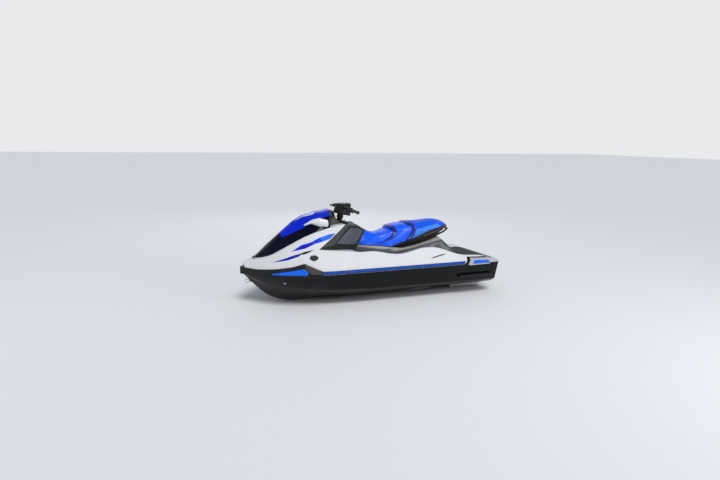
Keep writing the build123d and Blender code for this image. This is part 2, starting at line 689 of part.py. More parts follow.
grip_run = Vector(BAR_BEND) - Vector(GRIP_END)
grip_run = grip_run.normalized()
with BuildPart() as grips:
    for side in BOTH_SIDES:
        outer = Vector(grip_x, side * grip_y, grip_z)
        run = Vector(grip_run.X, side * grip_run.Y, grip_run.Z)
        with BuildSketch(Plane(origin=outer - run * 4, z_dir=run)):
            Circle(GRIP_R)
        extrude(amount=GRIP_LENGTH)
    add(handlebar.part, mode=Mode.SUBTRACT)
grips.part.label = "grips"
export_step(grips.part, "parts/grips.step")

with BuildPart() as lever_housings:
    for side in BOTH_SIDES:
        outer = Vector(grip_x, side * grip_y, grip_z)
        run = Vector(grip_run.X, side * grip_run.Y, grip_run.Z)
        clamp = outer + run * (GRIP_LENGTH + 2)
        with BuildSketch(Plane(origin=clamp, z_dir=run)):
            Circle(GRIP_R + 7)
        extrude(amount=38)
        tip = outer + run * 30 + Vector(48, 0, -4)
        root = clamp + run * 18 + Vector(26, 0, -4)
        with BuildSketch(Plane(origin=root, z_dir=tip - root)):
            RectangleRounded(14, 14, 4)
        extrude(amount=(tip - root).length)
    add(handlebar.part, mode=Mode.SUBTRACT)
    add(grips.part, mode=Mode.SUBTRACT)
lever_housings.part.label = "lever_housings"
export_step(lever_housings.part, "parts/lever_housings.step")

# Seat line, from the console's foot to the tail, seen from the side
SEAT_LINE = [(CONSOLE_TAIL_X, CONSOLE_TAIL_Z), (4, 610), (-170, 585), (-364, 640), (-528, 681), (-711, 748), (-1000, 798)]
SEAT_STATIONS = [
    (290, 190, 600, 112, 770, 800),
    (100, 212, 590, 128, 762, 792),
    (-90, 222, 578, 146, 732, 764),
    (-260, 216, 590, 160, 790, 822),
    (-460, 204, 624, 164, 818, 853),
    (-680, 190, 690, 156, 828, 863),
    (-880, 150, 760, 114, 834, 866),
    (-1014, 46, 796, 32, 808, 816),
]
seat_block = crowned_loft(SEAT_STATIONS)
above_seat_line = side_prism(*[(x, z + CLEARANCE) for x, z in SEAT_LINE], (-1100, 798), (-1100, 1100), (CONSOLE_TAIL_X, 1100))
console_tail_gap = side_prism(
    (CONSOLE_TAIL_X + SEAT_GAP - 20, CONSOLE_TAIL_Z - 60), (CONSOLE_TAIL_X - SEAT_GAP, CONSOLE_TAIL_Z - 1),
    (CONSOLE_TOP_X - SEAT_GAP, CONSOLE_TOP_Z), (CONSOLE_TOP_X - SEAT_GAP - 30, CONSOLE_TOP_Z + 60),
    (1000, CONSOLE_TOP_Z + 60), (1000, CONSOLE_TAIL_Z - 60),
)
SEATS = [
    ("seat_front", [(SEAT_SPLIT_X, 400), (SEAT_SPLIT_X + 55, 660), (SEAT_SPLIT_X - 12, 1100), (600, 1100), (600, 400)]),
    ("seat_rear", [
        (SEAT_SPLIT_X - SEAT_GAP, 400), (SEAT_SPLIT_X + 55 - SEAT_GAP, 660),
        (SEAT_SPLIT_X - 12 - SEAT_GAP, 1100), (-1300, 1100), (-1300, 400),
    ]),
]
for name, span in SEATS:
    with BuildPart() as seat:
        add(seat_block)
        add(above_seat_line, mode=Mode.INTERSECT)
        add(side_prism(*span), mode=Mode.INTERSECT)
        add(console_tail_gap, mode=Mode.SUBTRACT)
    seat.part.label = name
    export_step(seat.part, f"parts/{name}.step")

# Pedestal's top line and slanted tail, with a groove that leaves a lip along the top
PEDESTAL_LINE = [
    (CONSOLE_BASE_X, CONSOLE_BASE_Z), (CONSOLE_TAIL_X, CONSOLE_TAIL_Z), (4, 610), (-170, 585), (-328, 561),
    (-482, 583), (-674, 627), (-833, 670), (-866, 640), (-1062, 454), (-1090, PLATFORM_Z),
]
LIP_GROOVE = [(-280, 536), (-482, 556), (-674, 600), (-880, 646), (-880, 636), (-674, 590), (-482, 546), (-280, 526)]
GROOVE_DEEP = 8
PEDESTAL_STATIONS = [
    (CONSOLE_BASE_X, WELL_INNER_Y, 232),
    (-200, WELL_INNER_Y, 205),
    (-700, 262, 190),
    (-1110, 300, 190),
]


def pedestal_loft(inset: float) -> Part:
    """Return the pedestal's tapered block with its sides moved in by inset."""
    return across_loft([
        (x, [(low_y - inset, PLATFORM_Z), (top_y - inset, 760)]) for x, low_y, top_y in PEDESTAL_STATIONS
    ])


with BuildPart() as lip_groove:
    add(side_prism(*LIP_GROOVE))
    add(pedestal_loft(GROOVE_DEEP), mode=Mode.SUBTRACT)

with BuildPart() as pedestal:
    add(pedestal_loft(0))
    add(side_prism(*PEDESTAL_LINE, (CONSOLE_BASE_X, PLATFORM_Z)), mode=Mode.INTERSECT)
    add(lip_groove.part, mode=Mode.SUBTRACT)
    with Locations((engine_middle_x, 0, ENGINE_BASE_Z)):
        Box(*engine_room, align=UP, mode=Mode.SUBTRACT)
pedestal.part.label = "pedestal"
export_step(pedestal.part, "parts/pedestal.step")

with BuildPart() as seat_base:
    add(across_loft([
        (-150, [(190, 540), (190, 700)]),
        (-500, [(186, 540), (186, 760)]),
        (-800, [(150, 600), (160, 800)]),
        (-1030, [(40, 740), (56, 820)]),
    ]))
    add(
        side_prism(
            *SEAT_LINE[2:], (-1028, 792), (-1028, 778), (-870, 716), *PEDESTAL_LINE[7:3:-1],
        ),
        mode=Mode.INTERSECT,
    )
seat_base.part.label = "seat_base"
export_step(seat_base.part, "parts/seat_base.step")

with BuildPart() as grab_handle:
    with BuildLine():
        FilletPolyline(
            (-800, 124, 668), (-958, 100, 722), (-1032, 58, 750), (-1032, -58, 750), (-958, -100, 722),
            (-800, -124, 668), radius=40,
        )
    with BuildSketch(Plane(origin=(-800, 124, 668), z_dir=(-158, -24, 54))):
        Circle(HANDLE_R)
    sweep()
    add(pedestal.part, mode=Mode.SUBTRACT)
    add(seat_base.part, mode=Mode.SUBTRACT)
grab_handle.part.label = "grab_handle"
export_step(grab_handle.part, "parts/grab_handle.step")

with BuildPart() as footwell_mats:
    with Locations(*[(well_mid_x, side * well_mid_y, FLOOR_Z) for side in BOTH_SIDES]):
        Box(well_length - 2 * FLOOR_THICK - 2 * MAT_INSET, well_width - 2 * FLOOR_THICK - 2 * MAT_INSET, MAT_THICK, align=UP)
footwell_mats.part.label = "footwell_mats"
export_step(footwell_mats.part, "parts/footwell_mats.step")

with BuildPart() as stern_mat:
    with Locations(((MAT_FRONT_X + MAT_REAR_X) / 2, 0, PLATFORM_Z)):
        Box(MAT_FRONT_X - MAT_REAR_X, 2 * MAT_HALF, MAT_THICK, align=UP)
    fillet(stern_mat.edges().filter_by(Axis.Z).group_by(Axis.X)[0], 60)
stern_mat.part.label = "stern_mat"
export_step(stern_mat.part, "parts/stern_mat.step")

# Engine block and the shaft with its impeller
with BuildPart() as engine:
    with Locations((engine_middle_x, 0, ENGINE_BASE_Z)):
        Box(engine_length, 2 * ENGINE_HALF, ENGINE_TOP_Z - ENGINE_BASE_Z, align=UP)
    chamfer(engine.edges().filter_by(Axis.X), 20)
engine.part.label = "engine"
export_step(engine.part, "parts/engine.step")

shaft_line = Plane(origin=(0, 0, SHAFT_Z), x_dir=(0, 1, 0), z_dir=(1, 0, 0))
with BuildPart() as drive_shaft:
    with BuildSketch(shaft_line.offset(STATOR_FRONT_X - 24)):
        Circle(SHAFT_R)
    extrude(amount=ENGINE_REAR_X - CLEARANCE - STATOR_FRONT_X + 24)
drive_shaft.part.label = "drive_shaft"
export_step(drive_shaft.part, "parts/drive_shaft.step")


def blade_plane(x: float, turn: float) -> Plane:
    """Return the plane across the shaft at x with its own x turned to the blade's root."""
    across = (0, cos(radians(turn)), sin(radians(turn)))
    return Plane(origin=(x, 0, SHAFT_Z), x_dir=across, z_dir=(1, 0, 0))


def blades(count: int, thick: float, root_r: float, tip_r: float, front_x: float, rear_x: float, twist: float) -> Part:
    """Return helical blades round the shaft line, each lofted through three stations."""
    with BuildPart() as ring:
        for index in range(count):
            for share in (0, 0.5, 1):
                x = front_x + share * (rear_x - front_x)
                turn = index * 360 / count + (share - 0.5) * twist
                with BuildSketch(blade_plane(x, turn)):
                    with Locations(((root_r + tip_r) / 2, 0)):
                        Rectangle(tip_r - root_r, thick)
            loft()
    return ring.part


with BuildPart() as impeller:
    with BuildSketch(shaft_line.offset(IMPELLER_REAR_X)):
        Circle(HUB_R)
    extrude(amount=IMPELLER_FRONT_X - IMPELLER_REAR_X)
    chamfer(impeller.faces().sort_by(Axis.X)[-1].edges(), 14)
    add(blades(BLADE_COUNT, BLADE_THICK, HUB_R - 4, PUMP_BORE_R + 4, IMPELLER_FRONT_X - 18, IMPELLER_REAR_X + 4, BLADE_TWIST))
    with BuildSketch(shaft_line.offset(IMPELLER_REAR_X - 5)):
        Circle(PUMP_BORE_R - IMPELLER_GAP)
    extrude(amount=IMPELLER_FRONT_X - IMPELLER_REAR_X + 10, mode=Mode.INTERSECT)
    add(drive_shaft.part, mode=Mode.SUBTRACT)
impeller.part.label = "impeller"
export_step(impeller.part, "parts/impeller.step")

pump_r = PUMP_BORE_R + PUMP_WALL
with BuildPart() as pump_housing:
    with BuildSketch(station(PUMP_FRONT_X)):
        with Locations((0, SHAFT_Z)):
            RectangleRounded(2 * (pump_r + 18), 2 * (pump_r + 18), 20)
    extrude(amount=-FLANGE_THICK)
    with BuildSketch(shaft_line.offset(PUMP_REAR_X)):
        Circle(pump_r)
    extrude(amount=PUMP_FRONT_X - PUMP_REAR_X)
    with BuildSketch(shaft_line.offset(PUMP_REAR_X)):
        Circle(pump_r)
    with BuildSketch(shaft_line.offset(CONE_REAR_X + CONE_STRAIGHT)):
        Circle(CONE_BORE_R + CONE_WALL)
    loft()
    with BuildSketch(shaft_line.offset(CONE_REAR_X)):
        Circle(CONE_BORE_R + CONE_WALL)
    extrude(amount=CONE_STRAIGHT)
    # Steering boss and the reverse gate's lugs
    with BuildSketch(Plane(origin=(NOZZLE_PIVOT_X, 0, SHAFT_Z))):
        Circle(NOZZLE_PIN_R + 5)
    extrude(amount=CONE_BORE_R + CONE_WALL + 8, both=True)
    for side in BOTH_SIDES:
        with Locations((PUMP_REAR_X + 8, side * LUG_Y, SHAFT_Z + 4)):
            Box(PUMP_REAR_X + 8 - GATE_X + 12, LUG_THICK, GATE_Z - SHAFT_Z + 10, align=AFT_UP)
    with Locations((GATE_X, 0, GATE_Z)):
        Cylinder(GATE_PIN_R + 5, 2 * LUG_Y + LUG_THICK, rotation=(90, 0, 0))
    with Locations((GATE_X, 0, GATE_Z)):
        Box(200, 2 * LUG_Y - LUG_THICK, 24, mode=Mode.SUBTRACT)
    with Locations((GATE_X, 0, GATE_Z)):
        Cylinder(GATE_PIN_R, 2 * GATE_HALF + 4, rotation=(90, 0, 0))
        Cylinder(GATE_PIN_R + 0.5, 2 * LUG_Y - LUG_THICK, rotation=(90, 0, 0), mode=Mode.SUBTRACT)
    # Water way
    with BuildSketch(shaft_line.offset(PUMP_REAR_X)):
        Circle(PUMP_BORE_R)
    extrude(amount=PUMP_FRONT_X - PUMP_REAR_X, mode=Mode.SUBTRACT)
    with BuildSketch(shaft_line.offset(PUMP_REAR_X)):
        Circle(PUMP_BORE_R)
    with BuildSketch(shaft_line.offset(CONE_REAR_X + CONE_STRAIGHT)):
        Circle(CONE_BORE_R)
    loft(mode=Mode.SUBTRACT)
    with BuildSketch(shaft_line.offset(CONE_REAR_X)):
        Circle(CONE_BORE_R)
    extrude(amount=CONE_STRAIGHT, mode=Mode.SUBTRACT)
    with BuildSketch(Plane(origin=(NOZZLE_PIVOT_X, 0, SHAFT_Z))):
        Circle(NOZZLE_PIN_R + RUNNING)
    extrude(amount=2 * CONE_BORE_R, both=True, mode=Mode.SUBTRACT)
    # Stator: a fixed hub that carries the shaft's tail, on vanes
    with BuildSketch(shaft_line.offset(PUMP_REAR_X)):
        Circle(HUB_R)
    extrude(amount=STATOR_FRONT_X - PUMP_REAR_X)
    with BuildSketch(shaft_line.offset(PUMP_REAR_X)):
        Circle(HUB_R)
    with BuildSketch(shaft_line.offset(PUMP_REAR_X - 30)):
        Circle(HUB_R / 2)
    loft()
    add(blades(VANE_COUNT, VANE_THICK, HUB_R - 3, PUMP_BORE_R + 4, STATOR_FRONT_X - 6, PUMP_REAR_X + 6, VANE_TWIST))
    with BuildSketch(shaft_line.offset(STATOR_FRONT_X - 24 - CLEARANCE)):
        Circle(SHAFT_R + RUNNING)
    extrude(amount=40, mode=Mode.SUBTRACT)
pump_housing.part.label = "pump_housing"
export_step(pump_housing.part, "parts/pump_housing.step")

nozzle_r = NOZZLE_BORE_R + NOZZLE_WALL
with BuildPart() as steering_nozzle:
    with BuildSketch(shaft_line.offset(NOZZLE_FRONT_X)):
        Circle(nozzle_r)
    with BuildSketch(shaft_line.offset(NOZZLE_REAR_X)):
        Circle(NOZZLE_EXIT_R + NOZZLE_WALL)
    loft()
    with Locations((NOZZLE_PIVOT_X, 0, SHAFT_Z)):
        Cylinder(NOZZLE_PIN_R + 5, 2 * (nozzle_r - 1))
    with BuildSketch(shaft_line.offset(NOZZLE_FRONT_X + 10)):
        Circle(NOZZLE_BORE_R)
    with BuildSketch(shaft_line.offset(NOZZLE_REAR_X)):
        Circle(NOZZLE_EXIT_R)
    loft(mode=Mode.SUBTRACT)
    with Locations((NOZZLE_PIVOT_X, 0, SHAFT_Z)):
        Cylinder(NOZZLE_PIN_R, 2 * (nozzle_r - 1))
        Cylinder(NOZZLE_PIN_R + 1, 2 * (CONE_BORE_R + 1), mode=Mode.SUBTRACT)
steering_nozzle.part.label = "steering_nozzle"
export_step(steering_nozzle.part, "parts/steering_nozzle.step")


def gate_point(radius: float, angle: float) -> tuple:
    """Return the side-view point at a radius from the gate's pivot, its angle up from aft."""
    return (GATE_X - radius * cos(radians(angle)), GATE_Z + radius * sin(radians(angle)))


gate_middle = (GATE_LOW + GATE_HIGH) / 2
with BuildPart() as reverse_gate:
    with BuildSketch(side_plane()):
        with BuildLine():
            ThreePointArc(
                gate_point(GATE_R + GATE_WALL, GATE_LOW), gate_point(GATE_R + GATE_WALL, gate_middle),
                gate_point(GATE_R + GATE_WALL, GATE_HIGH),
            )
            Line(gate_point(GATE_R + GATE_WALL, GATE_HIGH), gate_point(GATE_R, GATE_HIGH))
            ThreePointArc(gate_point(GATE_R, GATE_HIGH), gate_point(GATE_R, gate_middle), gate_point(GATE_R, GATE_LOW))
            Line(gate_point(GATE_R, GATE_LOW), gate_point(GATE_R + GATE_WALL, GATE_LOW))
        make_face()
    extrude(amount=GATE_HALF, both=True)
    for side in BOTH_SIDES:
        with BuildSketch(side_plane(side * GATE_HALF)):
            with BuildLine():
                Polyline(
                    gate_point(GATE_R + 1, GATE_LOW), gate_point(18, GATE_LOW - 90), gate_point(18, 180),
                    gate_point(18, GATE_HIGH + 90), gate_point(GATE_R + 1, GATE_HIGH - 12), gate_point(GATE_R + 2, gate_middle),
                    close=True,
                )
            make_face()
        extrude(amount=side * GATE_WALL)
    with Locations((GATE_X, 0, GATE_Z)):
        Cylinder(GATE_PIN_R + RUNNING, 3 * GATE_HALF, rotation=(90, 0, 0), mode=Mode.SUBTRACT)
reverse_gate.part.label = "reverse_gate"
export_step(reverse_gate.part, "parts/reverse_gate.step")

with BuildPart() as ride_plate:
    with Locations((PUMP_FRONT_X, 0, 0)):
        Box(PUMP_FRONT_X - TRANSOM_X, 2 * BAY_HALF, RIDE_PLATE_SIDE_Z, align=AFT_UP)
    with Locations((PUMP_FRONT_X, 0, RIDE_PLATE_THICK)):
        Box(WIDE, 2 * (BAY_HALF - RIDE_PLATE_THICK), WIDE, align=AFT_UP, mode=Mode.SUBTRACT)
ride_plate.part.label = "ride_plate"
export_step(ride_plate.part, "parts/ride_plate.step")

intake_length = INTAKE_FRONT_X - INTAKE_REAR_X
with BuildPart() as intake_grate:
    with Locations((INTAKE_FRONT_X, 0, 2)):
        Box(intake_length, 2 * INTAKE_HALF, GRATE_BAR, align=AFT_UP)
    with Locations((INTAKE_FRONT_X - GRATE_BAR, 0, 0)):
        Box(intake_length - 2 * GRATE_BAR, 2 * (INTAKE_HALF - GRATE_BAR), WIDE, align=AFT_UP, mode=Mode.SUBTRACT)
    with GridLocations(0, 2 * INTAKE_HALF / (GRATE_COUNT + 1), 1, GRATE_COUNT):
        with Locations((INTAKE_FRONT_X, 0, 2)):
            Box(intake_length, GRATE_BAR, GRATE_BAR, align=AFT_UP)
intake_grate.part.label = "intake_grate"
export_step(intake_grate.part, "parts/intake_grate.step")

# Fins along the hull's chines at the stern
with BuildPart() as sponsons:
    for side in BOTH_SIDES:
        with Locations((-1170, side * SPONSON_Y, 236)):
            Box(480, 66, 38)
    chamfer(sponsons.edges().filter_by(Axis.Y), 16)
    add(hull_body, mode=Mode.SUBTRACT)
sponsons.part.label = "sponsons"
export_step(sponsons.part, "parts/sponsons.step")

cap_plane = Plane(origin=(FUEL_CAP_X, FUEL_CAP_Y, FUEL_CAP_Z), x_dir=(1, 0, 0), z_dir=(0.05, 0.5, 0.86))
with BuildPart() as fuel_cap:
    with BuildSketch(cap_plane.offset(-40)):
        Circle(FUEL_CAP_R)
    extrude(amount=50)
    chamfer(fuel_cap.faces().sort_by(Axis((0, 0, 0), cap_plane.z_dir))[-1].edges(), 4)
    with BuildSketch(cap_plane.offset(10)):
        SlotOverall(1.5 * FUEL_CAP_R, 12)
    extrude(amount=8)
    add(bow_body, mode=Mode.SUBTRACT)
fuel_cap.part.label = "fuel_cap"
export_step(fuel_cap.part, "parts/fuel_cap.step")

with BuildPart() as bow_eye:
    with Locations((EYE_X, 0, EYE_Z)):
        Cylinder(EYE_R, EYE_THICK, rotation=(90, 0, 0))
        Box(EYE_STEM, EYE_THICK, 1.4 * EYE_R, align=(Align.MAX, Align.CENTER, Align.CENTER))
        Cylinder(EYE_BORE_R, EYE_THICK, rotation=(90, 0, 0), mode=Mode.SUBTRACT)
    add(hull_body, mode=Mode.SUBTRACT)
bow_eye.part.label = "bow_eye"
export_step(bow_eye.part, "parts/bow_eye.step")

with BuildPart() as stern_eyes:
    with Locations(*[(STERN_EYE_X, side * STERN_EYE_Y, STERN_EYE_Z) for side in BOTH_SIDES]):
        Cylinder(EYE_R, EYE_THICK, rotation=(90, 0, 0))
        Cylinder(EYE_BORE_R, EYE_THICK, rotation=(90, 0, 0), mode=Mode.SUBTRACT)
    add(hull_body, mode=Mode.SUBTRACT)
stern_eyes.part.label = "stern_eyes"
export_step(stern_eyes.part, "parts/stern_eyes.step")

with BuildPart() as drain_plugs:
    with BuildSketch(station(TRANSOM_X)):
        with Locations(*[(side * DRAIN_Y, DRAIN_Z) for side in BOTH_SIDES]):
            Circle(DRAIN_R)
    extrude(amount=-8)
    with BuildSketch(station(TRANSOM_X - 8)):
        with Locations(*[(side * DRAIN_Y, DRAIN_Z) for side in BOTH_SIDES]):
            Rectangle(1.4 * DRAIN_R, 5)
    extrude(amount=-8)
drain_plugs.part.label = "drain_plugs"
export_step(drain_plugs.part, "parts/drain_plugs.step")
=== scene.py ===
"""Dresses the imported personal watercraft: mouldings, cushions, mats, trims and finishes.

Everything is in metres, +X to the bow, +Y to port, +Z up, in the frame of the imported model.
"""
import json
import logging
import math
from dataclasses import dataclass, field
from enum import Enum, IntEnum
from typing import Callable, Sequence

import bmesh
import bpy
from mathutils import Matrix, Vector
from mathutils.bvhtree import BVHTree

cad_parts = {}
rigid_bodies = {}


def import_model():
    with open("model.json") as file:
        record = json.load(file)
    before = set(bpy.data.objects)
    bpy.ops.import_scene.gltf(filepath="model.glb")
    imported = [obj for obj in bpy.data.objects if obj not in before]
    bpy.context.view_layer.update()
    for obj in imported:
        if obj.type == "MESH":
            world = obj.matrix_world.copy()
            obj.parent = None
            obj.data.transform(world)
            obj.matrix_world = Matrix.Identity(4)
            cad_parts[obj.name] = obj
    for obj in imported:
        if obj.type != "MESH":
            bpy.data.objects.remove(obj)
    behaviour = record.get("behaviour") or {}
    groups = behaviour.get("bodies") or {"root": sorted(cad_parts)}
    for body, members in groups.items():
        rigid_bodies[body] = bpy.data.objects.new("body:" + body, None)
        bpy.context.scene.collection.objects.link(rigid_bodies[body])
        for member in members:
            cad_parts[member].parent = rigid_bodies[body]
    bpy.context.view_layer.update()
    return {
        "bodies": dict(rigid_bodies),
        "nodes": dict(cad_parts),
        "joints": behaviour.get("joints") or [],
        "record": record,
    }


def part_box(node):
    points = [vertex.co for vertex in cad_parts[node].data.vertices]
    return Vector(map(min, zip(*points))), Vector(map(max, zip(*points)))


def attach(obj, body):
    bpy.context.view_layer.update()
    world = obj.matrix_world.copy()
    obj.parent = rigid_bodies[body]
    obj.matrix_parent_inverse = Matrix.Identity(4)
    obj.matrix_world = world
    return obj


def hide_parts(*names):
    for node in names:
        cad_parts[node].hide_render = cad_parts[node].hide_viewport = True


LOG = logging.getLogger("watercraft")

Point = tuple[float, float, float]
SidePoint = tuple[float, float]
Piece = bpy.types.Object
Shape = bmesh.types.BMesh
Tree = bpy.types.NodeTree
Socket = bpy.types.NodeSocket

# How near points merge, below what angle facets join, and past what angle edges stay sharp
WELD = 2e-5
AXIS_WELD = 1e-6
FLAT_ANGLE = math.radians(0.6)
PLATE_SHARP = math.radians(35)
TURNED_SHARP = math.radians(30)
# How far out rays start at the flanks, points from one stop of a line to the next, and faces
# round turned parts
RAY_START = 2.0
LINE_STEPS = 8
SCREW_ROUND, SMALL_ROUND, LARGE_ROUND = 16, 20, 48
# A decal's edge is one over this, in metres; no finish is smoother than the least roughness
DECAL_SHARPNESS = 500.0
MIN_ROUGHNESS = 0.02
# The cushions' covers: air pressure, how far a point may move, frames of cloth, subdivision
COVER_PRESSURE = 4.0
COVER_REACH = 0.006
COVER_FRAMES = 20
COVER_LEVELS = 1


class Side(IntEnum):
    """The craft's two sides, as the sign of their Y."""

    PORT = 1
    STARBOARD = -1


class Body(Enum):
    """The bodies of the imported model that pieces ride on."""

    CRAFT = "craft"
    HOOD = "hood"
    GLOVE_LID = "glove_box_lid"
    STEERING = "steering"
    NOZZLE = "nozzle"
    REVERSE = "reverse"
    PROPELLER = "propeller"


# Colour and nodes


def linear(hex_colour: str) -> tuple[float, float, float, float]:
    """Turn an sRGB hex colour into Blender's linear colour.

    Args:
        hex_colour: six hex digits.

    Returns:
        Linear red, green and blue, and an alpha of 1.
    """
    channels = [int(hex_colour[at:at + 2], 16) / 255 for at in (0, 2, 4)]
    red, green, blue = [c / 12.92 if c <= 0.04045 else ((c + 0.055) / 1.055) ** 2.4 for c in channels]
    return red, green, blue, 1.0


def add_node(tree: Tree, kind: str, feeds: dict | None = None, **settings) -> bpy.types.Node:
    """Add a shader node with its settings, values and links.

    Args:
        tree: the node tree that gets it.
        kind: the node's type name without "ShaderNode".
        feeds: input name or number to a value, or to the output socket that feeds it.
        settings: the node's own properties.

    Returns:
        The new node.
    """
    node = tree.nodes.new("ShaderNode" + kind)
    for name, value in settings.items():
        setattr(node, name, value)
    for key, value in (feeds or {}).items():
        if isinstance(value, Socket):
            tree.links.new(value, node.inputs[key])
        else:
            node.inputs[key].default_value = value
    return node


def new_material(name: str) -> tuple[bpy.types.Material, bpy.types.Node]:
    """Return a new material with nodes, and its surface shader."""
    material = bpy.data.materials.new(name)
    material.use_nodes = True
    return material, material.node_tree.nodes["Principled BSDF"]


@dataclass(frozen=True)
class Decal:
    """A flat colour inside a convex outline of (x, z) points, seen from the side, on both flanks.

    It shows only further out from the middle than outside. An outline seen from above has
    (x, distance from the middle) points.
    """

    outline: tuple[SidePoint, ...]
    colour: str
    outside: float = 0.0
    from_above: bool = False

    def mask(self, tree: Tree, place: Socket) -> Socket:
        """Return the socket that is 1 inside the outline, with an edge of about 2 mm.

        Args:
            tree: the node tree.
            place: the object coordinates.

        Returns:
            A value socket from 0 to 1.
        """
        points = list(self.outline)
        if sum(p[0] * q[1] - q[0] * p[1] for p, q in zip(points, points[1:] + points[:1])) < 0:
            points.reverse()
        parts = add_node(tree, "SeparateXYZ", {0: place})
        breadth = add_node(tree, "Math", {0: parts.outputs[1], 1: 0.0}, operation="ABSOLUTE").outputs[0]
        if self.from_above:
            place = add_node(tree, "CombineXYZ", {0: parts.outputs[0], 2: breadth}).outputs[0]
        gaps = []
        for (px, pz), (qx, qz) in zip(points, points[1:] + points[:1]):
            length = math.hypot(qx - px, qz - pz)
            along, up = -(qz - pz) / length, (qx - px) / length
            dot = add_node(tree, "VectorMath", {0: place, 1: (along, 0, up)}, operation="DOT_PRODUCT")
            gaps.append((dot.outputs["Value"], along * px + up * pz))
        if self.outside:
            gaps.append((breadth, self.outside))
        depths = [add_node(tree, "Math", {0: a, 1: b}, operation="SUBTRACT").outputs[0] for a, b in gaps]
        inside = depths[0]
        for depth in depths[1:]:
            inside = add_node(tree, "Math", {0: inside, 1: depth}, operation="MINIMUM").outputs[0]
        edge = {0: inside, 1: DECAL_SHARPNESS}
        return add_node(tree, "Math", edge, operation="MULTIPLY_ADD", use_clamp=True).outputs[0]


@dataclass(frozen=True)
class Finish:
    """A finish made from one base colour, decals, colour variation, grain and gloss.

    grain_mm is the size of the surface's grain and grain_depth its bump, in millimetres.
    mottle is how far the colour wanders, over mottle_mm. fade is the colour that worn or
    dusty places take.
    """

    name: str
    colour: str
    roughness: float
    metallic: float = 0.0
    ior: float = 1.5
    specular: float = 0.5
    coat: float = 0.0
    coat_roughness: float = 0.05
    grain_mm: float = 4.0
    grain_depth: float = 0.0
    grain_cells: bool = False
    mottle: float = 0.06
    mottle_mm: float = 220.0
    fade: str = "9a9a98"
    fade_share: float = 0.05
    gloss_wander: float = 0.08
    decals: tuple[Decal, ...] = ()

    def material(self) -> bpy.types.Material:
        """Build the finish."""
        material, shader = new_material(self.name)
        tree = material.node_tree
        place = add_node(tree, "TexCoord").outputs["Object"]
        tree.links.new(self.colour_socket(tree, place), shader.inputs["Base Color"])
        wander_scale = 1000 / (self.mottle_mm * 0.4)
        wander = add_node(tree, "TexNoise", {"Vector": place, "Scale": wander_scale, "Detail": 5.0})
        half = self.gloss_wander / 2
        gloss = add_node(tree, "MapRange", {
            "Value": wander.outputs["Fac"], "From Min": 0.3, "From Max": 0.7,
            "To Min": max(MIN_ROUGHNESS, self.roughness - half), "To Max": self.roughness + half,
        })
        tree.links.new(gloss.outputs["Result"], shader.inputs["Roughness"])
        for name, value in (
            ("Metallic", self.metallic), ("IOR", self.ior), ("Specular IOR Level", self.specular),
            ("Coat Weight", self.coat), ("Coat Roughness", self.coat_roughness),
        ):
            shader.inputs[name].default_value = value
        if self.grain_depth:
            tree.links.new(self.grain_socket(tree, place), shader.inputs["Normal"])
        return material

    def colour_socket(self, tree: Tree, place: Socket) -> Socket:
        """Return the colour with its decals, mottle and dusty fade.

        Args:
            tree: the node tree.
            place: the object coordinates.

        Returns:
            The colour's socket.
        """
        base = add_node(tree, "RGB")
        base.outputs[0].default_value = linear(self.colour)
        colour = base.outputs[0]
        for decal in self.decals:
            feeds = {0: decal.mask(tree, place), 6: colour, 7: linear(decal.colour)}
            colour = add_node(tree, "Mix", feeds, data_type="RGBA").outputs[2]
        cloud = add_node(tree, "TexNoise", {"Vector": place, "Scale": 1000 / self.mottle_mm, "Detail": 4.0})
        value = add_node(tree, "MapRange", {
            "Value": cloud.outputs["Fac"], "From Min": 0.25, "From Max": 0.75,
            "To Min": 1 - self.mottle, "To Max": 1 + self.mottle,
        })
        shaded = add_node(tree, "HueSaturation", {"Value": value.outputs["Result"], "Color": colour})
        dust = add_node(tree, "TexNoise", {"Vector": place, "Scale": 9.0, "Detail": 8.0, "Roughness": 0.7})
        dusty = add_node(tree, "MapRange", {
            "Value": dust.outputs["Fac"], "From Min": 0.5, "From Max": 0.8, "To Min": 0.0,
            "To Max": self.fade_share,
        })
        feeds = {0: dusty.outputs["Result"], 6: shaded.outputs[0], 7: linear(self.fade)}
        return add_node(tree, "Mix", feeds, data_type="RGBA").outputs[2]

    def grain_socket(self, tree: Tree, place: Socket) -> Socket:
        """Return the bumped normal of the surface's grain.

        Args:
            tree: the node tree.
            place: the object coordinates.

        Returns:
            The normal's socket.
        """
        scale = 1000 / self.grain_mm
        if self.grain_cells:
            feeds = {"Vector": place, "Scale": scale}
            grain = add_node(tree, "TexVoronoi", feeds, feature="DISTANCE_TO_EDGE")
            feeds = {"Value": grain.outputs["Distance"], "From Max": 0.16}
            height = add_node(tree, "MapRange", feeds).outputs["Result"]
        else:
            grain = add_node(tree, "TexNoise", {"Vector": place, "Scale": scale, "Detail": 3.0})
            height = grain.outputs["Fac"]
        feeds = {"Strength": 1.0, "Distance": self.grain_depth / 1000, "Height": height}
        return add_node(tree, "Bump", feeds).outputs[0]


